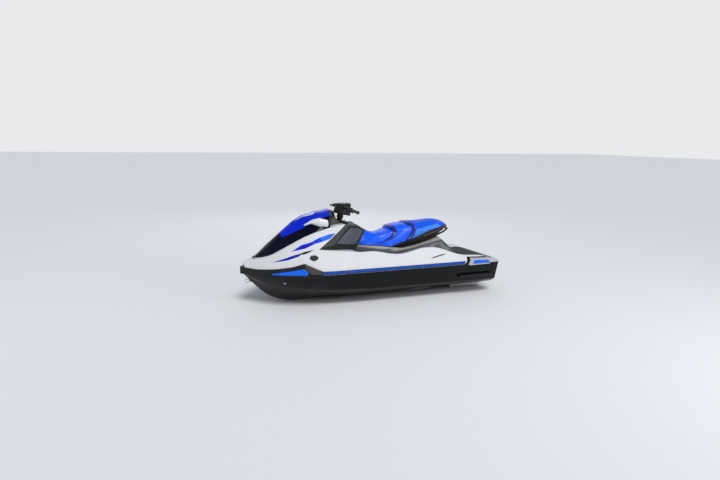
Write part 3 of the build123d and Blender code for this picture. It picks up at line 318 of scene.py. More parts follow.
@dataclass(frozen=True)
class MatFinish:
    """Closed-cell foam matting, heat pressed into raised bars with sharp grooves between.

    wall_start and wall_end say where a groove's wall runs, in pitches from its middle.
    """

    name: str
    colour: str
    groove_colour: str
    pitch_mm: float = 26.0
    wall_start: float = 0.06
    wall_end: float = 0.12
    depth_mm: float = 2.5
    speckle_scale: float = 700.0
    roughness: float = 0.85

    def material(self) -> bpy.types.Material:
        """Build the finish."""
        material, shader = new_material(self.name)
        tree = material.node_tree
        place = add_node(tree, "TexCoord").outputs["Object"]
        along = add_node(tree, "SeparateXYZ", {0: place}).outputs[0]
        turns = add_node(tree, "Math", {0: along, 1: 1000 / self.pitch_mm}, operation="MULTIPLY")
        wave = add_node(tree, "Math", {0: turns.outputs[0], 1: 0.5}, operation="PINGPONG")
        feeds = {"Value": wave.outputs[0], "From Min": self.wall_start, "From Max": self.wall_end}
        bar = add_node(tree, "MapRange", feeds)
        feeds = {"Vector": place, "Scale": self.speckle_scale, "Detail": 2.0}
        speckle = add_node(tree, "TexNoise", feeds)
        feeds = {"Value": speckle.outputs["Fac"], "To Min": 0.8, "To Max": 1.2}
        tone = add_node(tree, "MapRange", feeds).outputs["Result"]
        feeds = {0: bar.outputs["Result"], 6: linear(self.groove_colour), 7: linear(self.colour)}
        colour = add_node(tree, "Mix", feeds, data_type="RGBA").outputs[2]
        shaded = add_node(tree, "HueSaturation", {"Value": tone, "Color": colour})
        tree.links.new(shaded.outputs[0], shader.inputs["Base Color"])
        grain = add_node(tree, "Math", {0: speckle.outputs["Fac"], 1: 0.12}, operation="MULTIPLY_ADD")
        total = add_node(tree, "Math", {0: bar.outputs["Result"], 1: grain.outputs[0]}, operation="ADD")
        feeds = {"Strength": 1.0, "Distance": self.depth_mm / 1000, "Height": total.outputs[0]}
        tree.links.new(add_node(tree, "Bump", feeds).outputs[0], shader.inputs["Normal"])
        shader.inputs["Roughness"].default_value = self.roughness
        return material


# Sprayed gelcoat: hard, very glossy, with a faint orange peel, so it mirrors soft lights
GELCOAT_BLACK = Finish(
    "black_gelcoat", "030406", 0.15, specular=0.22, coat=0.06, grain_mm=14, grain_depth=0.05, mottle=0.25,
    fade="1e2126",
)
NAVY_GLOSS = Finish(
    "navy_gelcoat", "02031a", 0.13, specular=0.14, coat=0.03, grain_mm=16, grain_depth=0.03, mottle=0.12,
    fade="141834", fade_share=0.03,
)
BLUE_HOOD = Finish(
    "royal_blue_gelcoat", "0524bc", 0.15, specular=0.16, coat=0.06, grain_mm=16, grain_depth=0.02,
    mottle=0.08, fade="1c48dc", fade_share=0.04, decals=(
        Decal(((0.96, 0.024), (0.716, 0.022), (0.73, 0.066), (0.76, 0.074)), "e2e4e8", from_above=True),
        Decal(((0.9, 0.04), (0.73, 0.043), (0.73, 0.052), (0.88, 0.045)), "0a0f50", from_above=True),
    ),
)
GELCOAT_WHITE = Finish(
    "white_gelcoat", "d2d3d6", 0.2, specular=0.22, coat=0.06, grain_mm=16, grain_depth=0.05, mottle=0.02,
    fade="b9b7b2", fade_share=0.14, gloss_wander=0.06, decals=(
        Decal(((1.285, 0.52), (1.06, 0.598), (0.96, 0.622), (1.02, 0.588), (1.13, 0.552)), "10189a", 0.2),
        Decal(((1.015, 0.608), (0.945, 0.632), (0.845, 0.652), (0.905, 0.626), (0.965, 0.606)),
              "0b0d12", 0.2),
        Decal(((1.075, 0.628), (0.96, 0.692), (0.855, 0.722), (0.82, 0.706), (0.93, 0.662)), "101cb8", 0.2),
        Decal(((0.855, 0.722), (0.82, 0.706), (0.735, 0.726), (0.7, 0.742), (0.76, 0.764)), "123ad0", 0.2),
        Decal(((0.76, 0.764), (0.735, 0.726), (0.64, 0.752), (0.56, 0.802), (0.64, 0.796)), "2566dc", 0.2),
        Decal(((0.74, 0.668), (0.69, 0.688), (0.655, 0.686), (0.7, 0.668)), "0b0d12", 0.2),
        Decal(((-0.534, 0.478), (-0.593, 0.5), (-0.712, 0.52), (-0.784, 0.521), (-0.64, 0.496)),
              "0b0d12", 0.485),
    ),
)
# The same in grey and unpolished, dull where feet rub it; its upper band along the lip is painted lighter, a
# painted highlight where the lip catches the light
PEDESTAL_GREY = Finish(
    "beige_grey_gelcoat", "45464d", 0.34, specular=0.35, coat=0.1, grain_mm=14, grain_depth=0.08,
    fade="4c4a48", fade_share=0.2, decals=(
        # Painted highlight: the band along the pedestal's lip, painted lighter than the wall below
        Decal(((-0.29, 0.532), (-0.48, 0.552), (-0.482, 0.64), (-0.17, 0.64), (-0.17, 0.548)), "8b8884"),
        Decal(((-0.48, 0.552), (-0.674, 0.596), (-0.674, 0.7), (-0.48, 0.7)), "8b8884"),
        Decal(((-0.674, 0.596), (-0.88, 0.642), (-0.88, 0.72), (-0.674, 0.72)), "8b8884"),
        Decal(((-0.17, 0.548), (0.04, 0.584), (0.3, 0.608), (0.3, 0.7), (-0.17, 0.7)), "8b8884"),
    ),
)
# Painted ABS: smooth and bright, its lacquer catching small highlights
SILVER_TRIM = Finish(
    "silver_painted_abs", "aeb2b5", 0.3, metallic=0.15, coat=0.25, grain_mm=6, grain_depth=0.06, mottle=0.04,
)
SHELL_WHITE = Finish(
    "white_painted_abs", "d6d7da", 0.22, coat=0.25, grain_mm=12, grain_depth=0.05, mottle=0.02,
    fade="b9b7b2", fade_share=0.08,
)
# Moulded rubber: a satin skin with a fine pebble, pale where it is scuffed
RUBBER_BLACK = Finish(
    "moulded_rubber", "0d0e11", 0.42, specular=0.3, grain_mm=5, grain_depth=0.22, mottle=0.15,
    fade="5c5d60", fade_share=0.1, decals=(
        Decal(((0.972, 0.503), (0.868, 0.468), (0.782, 0.408), (0.8, 0.398), (0.911, 0.402), (0.968, 0.47)),
              "403f3e", 0.3),
        Decal(((1.56, 0.428), (1.27, 0.447), (1.1, 0.476), (0.985, 0.51), (0.99, 0.488), (1.1, 0.458),
               (1.28, 0.428)), "33363a", 0.2),
    ),
)
GRIP_RUBBER = Finish(
    "grip_rubber", "0b0c0e", 0.62, specular=0.3, grain_mm=2.5, grain_depth=0.3, grain_cells=True,
    mottle=0.15,
)
# Textured ABS: a leather pattern from the mould that breaks its sheen into a soft grey
BLACK_ABS = dict(
    roughness=0.36, specular=0.3, grain_mm=3.5, grain_depth=0.18, grain_cells=True, mottle=0.12,
    fade="45464a", fade_share=0.06,
)
GREY_ABS = dict(
    specular=0.35, grain_mm=5, grain_depth=0.35, grain_cells=True, mottle=0.07, fade="74746f",
    fade_share=0.12,
)
ABS_BLACK = Finish("moulded_black_abs", "08090b", **BLACK_ABS)
DASH_BLACK = Finish("dash_black_abs", "08090b", **BLACK_ABS, decals=(
    Decal(((0.502, 0.975), (0.454, 0.925), (0.47, 0.872), (0.574, 0.872), (0.548, 0.925)), "46423e", 0.08),
))
GLOVE_GREY = Finish("glove_box_abs", "3d3f43", 0.5, **GREY_ABS)
ABS_GREY = Finish("textured_grey_abs", "3b3d41", 0.48, **GREY_ABS, decals=(
    Decal(((0.79, 0.672), (0.59, 0.677), (0.275, 0.654), (0.24, 0.56), (0.8, 0.56)), "0b0c0e", 0.15),
    Decal(((0.366, 0.858), (0.596, 0.68), (0.345, 0.644), (0.274, 0.65), (0.15, 0.794), (0.23, 0.836)),
          "08090a", 0.12),
    Decal(((0.35, 0.842), (0.566, 0.69), (0.347, 0.657), (0.286, 0.663), (0.172, 0.794), (0.238, 0.827)),
          "4c4f5a", 0.12),
))
# Coloured PVC: even and waxy, with a soft gloss
PVC = dict(
    roughness=0.26, specular=0.25, coat=0.1, grain_mm=9, grain_depth=0.08, mottle=0.07, fade_share=0.03,
)
BLUE_TRIM = Finish("blue_moulded_pvc", "0660e2", **PVC)
STRIP_BLUE = Finish("blue_extruded_pvc", "0c46a6", **PVC, decals=(
    # Painted shade: a darker band along the strip's lower edge, on its underside; a second darker band runs
    # along its upper edge
    Decal(((0.8, 0.398), (-1.01, 0.398), (-1.01, 0.38), (0.8, 0.38)), "0a2450"),
    Decal(((0.8, 0.424), (-1.01, 0.424), (-1.01, 0.44), (0.8, 0.44)), "12244a"),
))
# Painted highlight: a light tan tube along the seat pan's lip, where the lip catches the light
PAN_LIP_HIGHLIGHT = Finish("tan_edge_trim", "857a6b", 0.4, specular=0.35, grain_mm=6, grain_depth=0.06)
# Small self-coloured plastic parts, a little dull
RED_BUTTON = Finish("red_button_abs", "b01a18", 0.35, grain_mm=3, grain_depth=0.05)
GREEN_BUTTON = Finish("green_button_abs", "1c7a3a", 0.35, grain_mm=3, grain_depth=0.05)
# Marine vinyl: a fine pressed leather grain under a gloss top coat
VINYL = dict(
    roughness=0.34, specular=0.15, coat=0.3, coat_roughness=0.16, grain_depth=0.2, grain_cells=True,
    mottle=0.07, mottle_mm=160, fade="3f74ee", fade_share=0.08,
)
VINYL_FRONT = Finish("marine_vinyl_front", "0058ec", **VINYL, decals=(
    # Painted shade: the dark crescent on the forward face of the bolster behind the scoop; the second
    # outline, in the base blue, trims it to a crescent
    Decal(((0, 0.9), (-0.2, 0.9), (-0.262, 0.805), (-0.275, 0.752), (-0.24, 0.706), (-0.176, 0.67),
           (-0.11, 0.646), (-0.024, 0.622), (0, 0.64)), "021c8c"),
    Decal(((0.3, 0.9), (-0.14, 0.9), (-0.196, 0.8), (-0.216, 0.752), (-0.196, 0.716), (-0.15, 0.686),
           (-0.096, 0.658), (-0.014, 0.628), (0.3, 0.64)), "0058ec"),
))
VINYL_REAR = Finish("marine_vinyl_rear", "0052e0", **VINYL, decals=(
    # Painted highlight: the cushion's flank below its crease, painted lighter blue where the side faces the
    # light
    Decal(((-0.514, 0.763), (-0.669, 0.8), (-0.853, 0.835), (-1.06, 0.87), (-1.06, 0.76),
           (-0.64, 0.64), (-0.44, 0.64)), "3c82e2", 0.13),
    # Painted shade: the dark crescent on the forward face of the rear cushion's step
    Decal(((-0.33, 0.9), (-0.446, 0.9), (-0.496, 0.835), (-0.52, 0.772), (-0.49, 0.704),
           (-0.407, 0.632), (-0.33, 0.632)), "02167c"),
))
THREAD_BLUE = Finish("bonded_nylon_thread", "3f6ff0", 0.55, specular=0.3, grain_mm=2, grain_depth=0.1)
WELT_BLUE = Finish("vinyl_piping", "061470", 0.38, grain_mm=3, grain_depth=0.1, mottle=0.08)
# Cast aluminium keeps the sand's grain; turned and polished steel is smoother; paint dulls iron
CAST_ALUMINIUM = Finish(
    "cast_aluminium", "b4b7ba", 0.38, metallic=1.0, grain_depth=0.35, mottle=0.12, fade="6c6f70",
    fade_share=0.2,
)
BLACK_OXIDE = Finish(
    "black_oxide_steel", "17181a", 0.38, metallic=1.0, grain_mm=3, grain_depth=0.03, mottle=0.05,
)
STAINLESS = Finish(
    "polished_stainless", "c9cacb", 0.16, metallic=1.0, grain_mm=3, grain_depth=0.03, mottle=0.05,
)
CAST_IRON = Finish("painted_cast_iron", "2b2d30", 0.55, grain_depth=0.5, mottle=0.2)
# Float glass: dark over the display, a clean mirror where its back is silvered
SCREEN = Finish("display_glass", "0a0f0e", 0.08, coat=0.8, coat_roughness=0.02, mottle=0.1, fade_share=0.0)
SCREEN_PANEL = Finish("liquid_crystal", "6d7a66", 0.3, fade_share=0.0)
MIRROR = Finish(
    "silvered_glass", "e4e8ea", 0.03, metallic=1.0, mottle=0.02, gloss_wander=0.02, fade_share=0.0,
)
STERN_FOAM = MatFinish("pressed_foam_stern", "33353a", "141518")
WELL_FOAM = MatFinish("pressed_foam_well", "2c2e33", "121316", 22.0)


# Meshes and pieces


def new_piece(name: str, mesh: bpy.types.Mesh) -> Piece:
    """Link a new object at the origin that carries a mesh, smooth shaded."""
    mesh.shade_smooth()
    piece = bpy.data.objects.new(name, mesh)
    bpy.context.scene.collection.objects.link(piece)
    return piece


def piece_from(name: str, shape: Shape) -> Piece:
    """Turn a bmesh into a smooth shaded piece and free it."""
    mesh = bpy.data.meshes.new(name)
    shape.to_mesh(mesh)
    shape.free()
    return new_piece(name, mesh)


def shape_of(*pieces: Piece) -> Shape:
    """Return a bmesh that holds the meshes of pieces."""
    shape = bmesh.new()
    for piece in pieces:
        shape.from_mesh(piece.data)
    return shape


def evaluated_mesh(piece: Piece) -> bpy.types.Mesh:
    """Return a new mesh of an object with its modifiers applied."""
    return bpy.data.meshes.new_from_object(piece.evaluated_get(bpy.context.evaluated_depsgraph_get()))


def baked(piece: Piece, kind: str, **settings) -> Piece:
    """Give a piece one modifier and apply it to the mesh.

    Args:
        piece: the piece.
        kind: the modifier's type.
        settings: the modifier's properties.

    Returns:
        The piece.
    """
    modifier = piece.modifiers.new(kind.lower(), kind)
    for name, value in settings.items():
        setattr(modifier, name, value)
    return applied(piece)


def applied(piece: Piece) -> Piece:
    """Apply every modifier of a piece to its mesh."""
    mesh, old = evaluated_mesh(piece), piece.data
    piece.modifiers.clear()
    piece.data = mesh
    bpy.data.meshes.remove(old)
    return piece


def dress(
    piece: Piece, finish: Finish | MatFinish, body: Body = Body.CRAFT,
    replaced: Sequence[str] = (),
) -> Piece:
    """Give a piece its finish, body and the CAD nodes it stands for.

    Args:
        piece: the piece, in place.
        finish: its finish.
        body: the body it rides on.
        replaced: names of CAD nodes that it replaces.

    Returns:
        The piece.
    """
    piece.data.materials.clear()
    piece.data.materials.append(bpy.data.materials.get(finish.name) or finish.material())
    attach(piece, body.value)
    if replaced:
        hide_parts(*replaced)
    LOG.info("%s: %d faces on %s", piece.name, len(piece.data.polygons), body.value)
    return piece


def merged_copy(frame: dict, node: str) -> Shape:
    """Return a bmesh of a CAD node with its doubles merged."""
    shape = shape_of(frame["nodes"][node])
    bmesh.ops.remove_doubles(shape, verts=shape.verts, dist=WELD)
    return shape


@dataclass(frozen=True)
class Redrawn:
    """A machined or moulded CAD node, redrawn as a smooth piece with eased edges.

    edge is the width of the rounding on its sharp edges, in metres, and angle the angle in
    degrees past which an edge is sharp. segments says how many faces round an edge, and
    harden whether flat faces keep their own shading up to the rounding.
    """

    node: str
    name: str
    finish: Finish | MatFinish
    slot: str
    edge: float = 0.0
    body: Body = Body.CRAFT
    angle: float = 32.0
    segments: int = 2
    harden: bool = True

    def build(self, frame: dict) -> Piece:
        """Make the piece.

        Args:
            frame: what the frame's load returned.

        Returns:
            The new object, dressed.
        """
        shape = merged_copy(frame, self.node)
        bmesh.ops.dissolve_limit(
            shape, angle_limit=FLAT_ANGLE, use_dissolve_boundaries=False, verts=shape.verts,
            edges=shape.edges, delimit=set(),
        )
        piece = piece_from(self.name, shape)
        sharp = math.radians(self.angle)
        if self.edge:
            baked(
                piece, "BEVEL", width=self.edge, segments=self.segments, limit_method="ANGLE",
                angle_limit=sharp, harden_normals=self.harden,
            )
        else:
            piece.data.set_sharp_from_angle(angle=sharp)
        return dress(piece, self.finish, self.body, [self.node])


@dataclass
class Assembly:
    """A sub-assembly: CAD nodes redrawn one by one, and the pieces its class adds to them."""

    frame: dict
    nodes: tuple[Redrawn, ...] = ()
    drawn: dict[str, Piece] = field(default_factory=dict)

    def build(self) -> None:
        """Redraw the nodes, then add the other pieces."""
        for row in self.nodes:
            self.drawn[row.node] = row.build(self.frame)
        self.add_details()

    def add_details(self) -> None:
        """Add nothing, unless the class has more pieces."""


def moulded(frame: dict, node: str, name: str, voxel: float, rounds: int) -> Piece:
    """Return a moulding with soft radii, drawn over a CAD node.

    Args:
        frame: what the frame's load returned.
        node: the CAD node it follows.
        name: the new piece's name.
        voxel: the mesh size in metres, which is also about the edge radius.
        rounds: rounds of smoothing.

    Returns:
        The new object, not yet dressed.
    """
    piece = baked(piece_from(name, merged_copy(frame, node)), "REMESH", mode="VOXEL", voxel_size=voxel)
    shape = shape_of(piece)
    for _ in range(rounds):
        bmesh.ops.smooth_vert(
            shape, verts=shape.verts, factor=0.5, use_axis_x=True, use_axis_y=True, use_axis_z=True,
        )
    shape.to_mesh(piece.data)
    shape.free()
    piece.data.shade_smooth()
    return piece


def tube(name: str, points: Sequence[Sequence[float]], radius: float, ring: bool = False) -> Piece:
    """Return a round tube along points.

    Args:
        name: the piece's name.
        points: the points of its centreline.
        radius: its radius.
        ring: whether it runs straight from point to point and closes on itself, and not in
            one smooth open curve.

    Returns:
        The new object, already a mesh.
    """
    curve = bpy.data.curves.new(name, "CURVE")
    curve.dimensions = "3D"
    curve.bevel_depth = radius
    curve.bevel_resolution = 3
    curve.resolution_u = 6
    curve.use_fill_caps = not ring
    spline = curve.splines.new("POLY" if ring else "NURBS")
    spline.points.add(len(points) - 1)
    for at, point in zip(spline.points, points):
        at.co = (*point, 1.0)
    if not ring:
        spline.order_u = 3
        spline.use_endpoint_u = True
    spline.use_cyclic_u = ring
    holder = bpy.data.objects.new(name + "_line", curve)
    bpy.context.scene.collection.objects.link(holder)
    mesh = evaluated_mesh(holder)
    mesh.name = name
    bpy.data.objects.remove(holder)
    bpy.data.curves.remove(curve)
    return new_piece(name, mesh)


def joined(name: str, parts: Sequence[Piece]) -> Piece:
    """Join the meshes of several objects into one new piece and remove them."""
    shape = shape_of(*parts)
    for part in parts:
        mesh = part.data
        bpy.data.objects.remove(part)
        bpy.data.meshes.remove(mesh)
    return piece_from(name, shape)


def outline_plate(name: str, outline: Sequence[Sequence[float]], depth: Vector, edge: float) -> Piece:
    """Return a plate with bevelled edges, extruded from an outline.

    Args:
        name: the piece's name.
        outline: the points of its face.
        depth: the vector from that face to the other.
        edge: the width of its bevel.

    Returns:
        The new object.
    """
    shape = bmesh.new()
    face = shape.faces.new([shape.verts.new(point) for point in outline])
    out = bmesh.ops.extrude_face_region(shape, geom=[face])
    moved = [item for item in out["geom"] if isinstance(item, bmesh.types.BMVert)]
    bmesh.ops.translate(shape, verts=moved, vec=depth)
    bmesh.ops.recalc_face_normals(shape, faces=shape.faces)
    bmesh.ops.bevel(
        shape, geom=list(shape.edges), offset=edge, segments=2, affect="EDGES", profile=0.5, material=-1,
    )
    piece = piece_from(name, shape)
    piece.data.set_sharp_from_angle(angle=PLATE_SHARP)
    return piece


def turned(name: str, profile: Sequence[SidePoint], axis: Matrix, steps: int) -> Piece:
    """Return a turned part.

    Args:
        name: the piece's name.
        profile: (radius, height) points of its half section.
        axis: the matrix that takes +Z and the origin to the part's axis and foot.
        steps: faces round the axis.

    Returns:
        The new object, closed on its axis where the profile reaches it.
    """
    shape = bmesh.new()
    verts = [shape.verts.new((radius, 0, height)) for radius, height in profile]
    edges = [shape.edges.new(pair) for pair in zip(verts, verts[1:])]
    bmesh.ops.spin(
        shape, geom=verts + edges, cent=(0, 0, 0), axis=(0, 0, 1), angle=math.tau, steps=steps,
        use_merge=True, use_duplicate=False,
    )
    bmesh.ops.remove_doubles(shape, verts=shape.verts, dist=AXIS_WELD)
    bmesh.ops.recalc_face_normals(shape, faces=shape.faces)
    bmesh.ops.transform(shape, matrix=axis, verts=shape.verts)
    piece = piece_from(name, shape)
    piece.data.set_sharp_from_angle(angle=TURNED_SHARP)
    return piece


def facing(origin: Sequence[float], direction: Sequence[float]) -> Matrix:
    """Return the matrix that takes +Z at the world's origin to a direction at a place."""
    turn = Vector(direction).to_track_quat("Z", "Y").to_matrix().to_4x4()
    return Matrix.Translation(Vector(origin)) @ turn


def between(table: Sequence[SidePoint], value: float) -> float:
    """Read a table of (value, result) pairs in rising order, straight between its rows."""
    if value <= table[0][0]:
        return table[0][1]
    for (low, first), (high, second) in zip(table, table[1:]):
        if value <= high:
            return first + (second - first) * (value - low) / (high - low)
    return table[-1][1]


def eased(value: float, start: float, length: float) -> float:
    """Return the smooth step of a value, from 0 at the start to 1 a length further on."""
    share = min(1.0, max(0.0, (value - start) / length))
    return share * share * (3 - 2 * share)


def skin_tree(piece: Piece) -> BVHTree:
    """Return the ray casting tree of a piece's mesh."""
    shape = shape_of(piece)
    tree = BVHTree.FromBMesh(shape)
    shape.free()
    return tree


def walked(stops: Sequence[SidePoint], steps: int = LINE_STEPS) -> list[SidePoint]:
    """Return the pairs at each eighth of the way from one stop to the next, as many as steps."""
    return [
        (a0 + (a1 - a0) * step / LINE_STEPS, b0 + (b1 - b0) * step / LINE_STEPS)
        for (a0, b0), (a1, b1) in zip(stops, stops[1:]) for step in range(steps)
    ]


def wrapped_line(piece: Piece, stops: Sequence[SidePoint], hub_z: float) -> list[Vector]:
    """Lay a line on a piece's skin, round a hub line that runs along X.

    Args:
        piece: the piece that carries the line.
        stops: x and the angle in degrees from straight up, positive to port.
        hub_z: the hub line's height.

    Returns:
        The line's points.
    """
    tree = skin_tree(piece)
    points = []
    for x, degrees in walked(stops):
        angle = math.radians(degrees)
        out = Vector((0, math.sin(angle), math.cos(angle)))
        points.append(tree.ray_cast(Vector((x, 0, hub_z)) + out, -out)[0])
    return [point for point in points if point]


def flank_spots(piece: Piece, places: Sequence[SidePoint], *sides: Side) -> list[tuple[Vector, Vector]]:
    """Find places on the flanks of a piece.

    Args:
        piece: the piece.
        places: (x, z) points, seen from the side.
        sides: the sides to look at.

    Returns:
        Each place that is found with its outward normal, one side after the other.
    """
    tree = skin_tree(piece)
    hits = [
        tree.ray_cast(Vector((x, RAY_START * side, z)), Vector((0, -side, 0)))[:2]
        for side in sides for x, z in places
    ]
    return [hit for hit in hits if hit[0]]


def flank_line(piece: Piece, line: Sequence[SidePoint], side: Side) -> list[Vector]:
    """Return the points of a line of (x, z) points laid on one flank of a piece."""
    return [place for place, _ in flank_spots(piece, walked(line, LINE_STEPS + 1), side)]


def spaced(points: Sequence[Vector], gap: float) -> list[Vector]:
    """Return points a fixed gap apart along a line of points."""
    places, left = [points[0]], gap
    for first, second in zip(points, points[1:]):
        length, gone = (second - first).length, 0.0
        while length - gone >= left:
            gone += left
            places.append(first.lerp(second, gone / length))
            left = gap
        left -= length - gone
    return places


def inflated(piece: Piece, held: Callable[[Vector, Vector], bool]) -> None:
    """Swell a cushion's cover with a short cloth simulation and apply it.

    Args:
        piece: the cushion, an even mesh.
        held: says of a vertex's place and normal whether the cover is stitched down there.
    """
    mesh = piece.data
    before = [vert.co.copy() for vert in mesh.vertices]
    group = piece.vertex_groups.new(name="stitched")
    group.add([v.index for v in mesh.vertices if held(v.co, v.normal)], 1.0, "REPLACE")
    cloth = piece.modifiers.new("cover", "CLOTH")
    cloth.settings.use_pressure = True
    cloth.settings.uniform_pressure_force = COVER_PRESSURE
    cloth.settings.vertex_group_mass = group.name
    cloth.settings.effector_weights.gravity = 0
    cloth.point_cache.frame_start, cloth.point_cache.frame_end = 1, COVER_FRAMES
    for frame in range(1, COVER_FRAMES + 1):
        bpy.context.scene.frame_set(frame)
    applied(piece)
    bpy.context.scene.frame_set(1)
    for vert, old in zip(piece.data.vertices, before):
        move = vert.co - old
        if move.length > COVER_REACH:
            vert.co = old + move * (COVER_REACH / move.length)
    piece.vertex_groups.clear()


@dataclass(frozen=True)
class Stitch:
    """A row of straight stitches: each one's length, the gap from one to the next, the thread."""

    length: float = 0.0036
    gap: float = 0.0056
    radius: float = 0.0006

    def row(self, name: str, points: Sequence[Vector]) -> Piece:
        """Sew a row along points on a surface and return it as one object, not yet dressed."""
        shape = bmesh.new()
        places = spaced(points, self.gap)
        for first, second in zip(places, places[1:]):
            bmesh.ops.create_cone(
                shape, cap_ends=True, segments=6, radius1=self.radius, radius2=self.radius,
                depth=self.length, matrix=facing((first + second) / 2, second - first),
            )
        return piece_from(name, shape)


@dataclass(frozen=True)
class Screw:
    """A socket-head screw; its profile is in radii of the head."""

    radius: float
    finish: Finish
    slot: str
    profile: tuple[SidePoint, ...] = (
        (0, -0.3), (1, -0.3), (1, 0.15), (0.82, 0.42), (0.5, 0.5), (0.45, 0.5), (0.45, 0.1), (0, 0.1),
    )

    def drive(self, name: str, piece: Piece, places: Sequence[SidePoint]) -> Piece:
        """Set screws in both flanks of a piece.

        Args:
            name: the new piece's name.
            piece: the piece that they hold.
            places: (x, z) points, seen from the side.

        Returns:
            The screws as one piece.
        """
        section = [(r * self.radius, h * self.radius) for r, h in self.profile]
        heads = [
            turned(f"{name}_{count}", section, facing(*spot), SCREW_ROUND)
            for count, spot in enumerate(flank_spots(piece, places, *Side))
        ]
        return dress(joined(name, heads), self.finish)


# The camera, lights and floor


@dataclass
class Studio:
    """The photograph's camera over a pale floor, with soft lamps.

    Each lamp is a name, a place, a diameter and a power. The dome's two colours are those
    low down and overhead.
    """

    place: Point = (2.8026, 6.3446, 1.8535)
    right: Point = (-0.92259, 0.38550, 0.01475)
    up: Point = (-0.05299, -0.16449, 0.98495)
    sensor: float = 36.0
    lens: float = 29.28
    floor_half: float = 60.0
    floor_colour: str = "e6e7e9"
    backdrop: str = "e9eaec"
    dome: tuple[str, str] = ("ffffff", "b4bac6")
    dome_strength: float = 0.60
    craft_middle: Point = (0.2, 0.0, 0.5)
    sun_place: Point = (0.5, 3.25, 4.75)
    sun_strength: float = 2.0
    sun_spread: float = 24.0
    lamps: tuple[tuple[str, Point, float, float], ...] = (
        ("side", (-3.6, 5.9, 3.0), 1.6, 80.0),
        ("bow", (7.0, 1.0, 2.6), 2.5, 18.0),
        ("back", (-2.0, -6.5, 4.0), 4.0, 40.0),
    )

    def build(self) -> None:
        """Make the camera, the lamps, the world and the floor."""
        self.add_camera()
        self.add_lamps()
        self.add_world()
        self.add_floor()
        bpy.context.scene.view_settings.view_transform = "Standard"

    def add_camera(self) -> None:
        """Make the camera at the photograph's place."""
        data = bpy.data.cameras.new("camera")
        data.sensor_width = self.sensor
        data.lens = self.lens
        camera = bpy.data.objects.new("camera", data)
        bpy.context.scene.collection.objects.link(camera)
        right, up = Vector(self.right), Vector(self.up)
        turn = Matrix((right, up, right.cross(up))).transposed().to_4x4()
        camera.matrix_world = Matrix.Translation(self.place) @ turn
        bpy.context.scene.camera = camera

    def add_lamps(self) -> None:
        """Make a broad soft sun and area lamps that face the craft's middle."""
        sun = bpy.data.lights.new("sky_panel", "SUN")
        sun.energy = self.sun_strength
        sun.angle = math.radians(self.sun_spread)
        lamps = [(sun, Vector(self.sun_place))]
        for name, place, size, power in self.lamps:
            data = bpy.data.lights.new(name, "AREA")
            data.shape = "DISK"
            data.size = size
            data.energy = power
            lamps.append((data, Vector(place)))
        for data, place in lamps:
            lamp = bpy.data.objects.new(data.name, data)
            bpy.context.scene.collection.objects.link(lamp)
            lamp.matrix_world = facing(place, place - Vector(self.craft_middle))

    def add_world(self) -> None:
        """Light the scene with a dome, bright low down, behind a pale background."""
        world = bpy.data.worlds.new("studio")
        bpy.context.scene.world = world
        world.use_nodes = True
        tree = world.node_tree
        tree.nodes.clear()
        rays = add_node(tree, "LightPath")
        height = add_node(tree, "SeparateXYZ", {0: add_node(tree, "TexCoord").outputs["Generated"]})
        rise = add_node(tree, "MapRange", {"Value": height.outputs[2], "From Min": 0.0, "From Max": 0.65})
        low, high = [linear(colour) for colour in self.dome]
        dome = add_node(tree, "Mix", {0: rise.outputs["Result"], 6: low, 7: high}, data_type="RGBA")
        soft = add_node(tree, "Background", {"Color": dome.outputs[2], "Strength": self.dome_strength})
        plain = add_node(tree, "Background", {"Color": linear(self.backdrop), "Strength": 1.0})
        feeds = {0: rays.outputs["Is Camera Ray"], 1: soft.outputs[0], 2: plain.outputs[0]}
        add_node(tree, "OutputWorld", {0: add_node(tree, "MixShader", feeds).outputs[0]})

    def add_floor(self) -> None:
        """Lay the pale floor at the level that the keel rests on."""
        shape = bmesh.new()
        bmesh.ops.create_grid(shape, x_segments=1, y_segments=1, size=self.floor_half)
        floor = piece_from("floor", shape)
        material, shader = new_material("pale_floor")
        shader.inputs["Base Color"].default_value = linear(self.floor_colour)
        shader.inputs["Roughness"].default_value = 0.7
        shader.inputs["Specular IOR Level"].default_value = 0.2
        floor.data.materials.append(material)


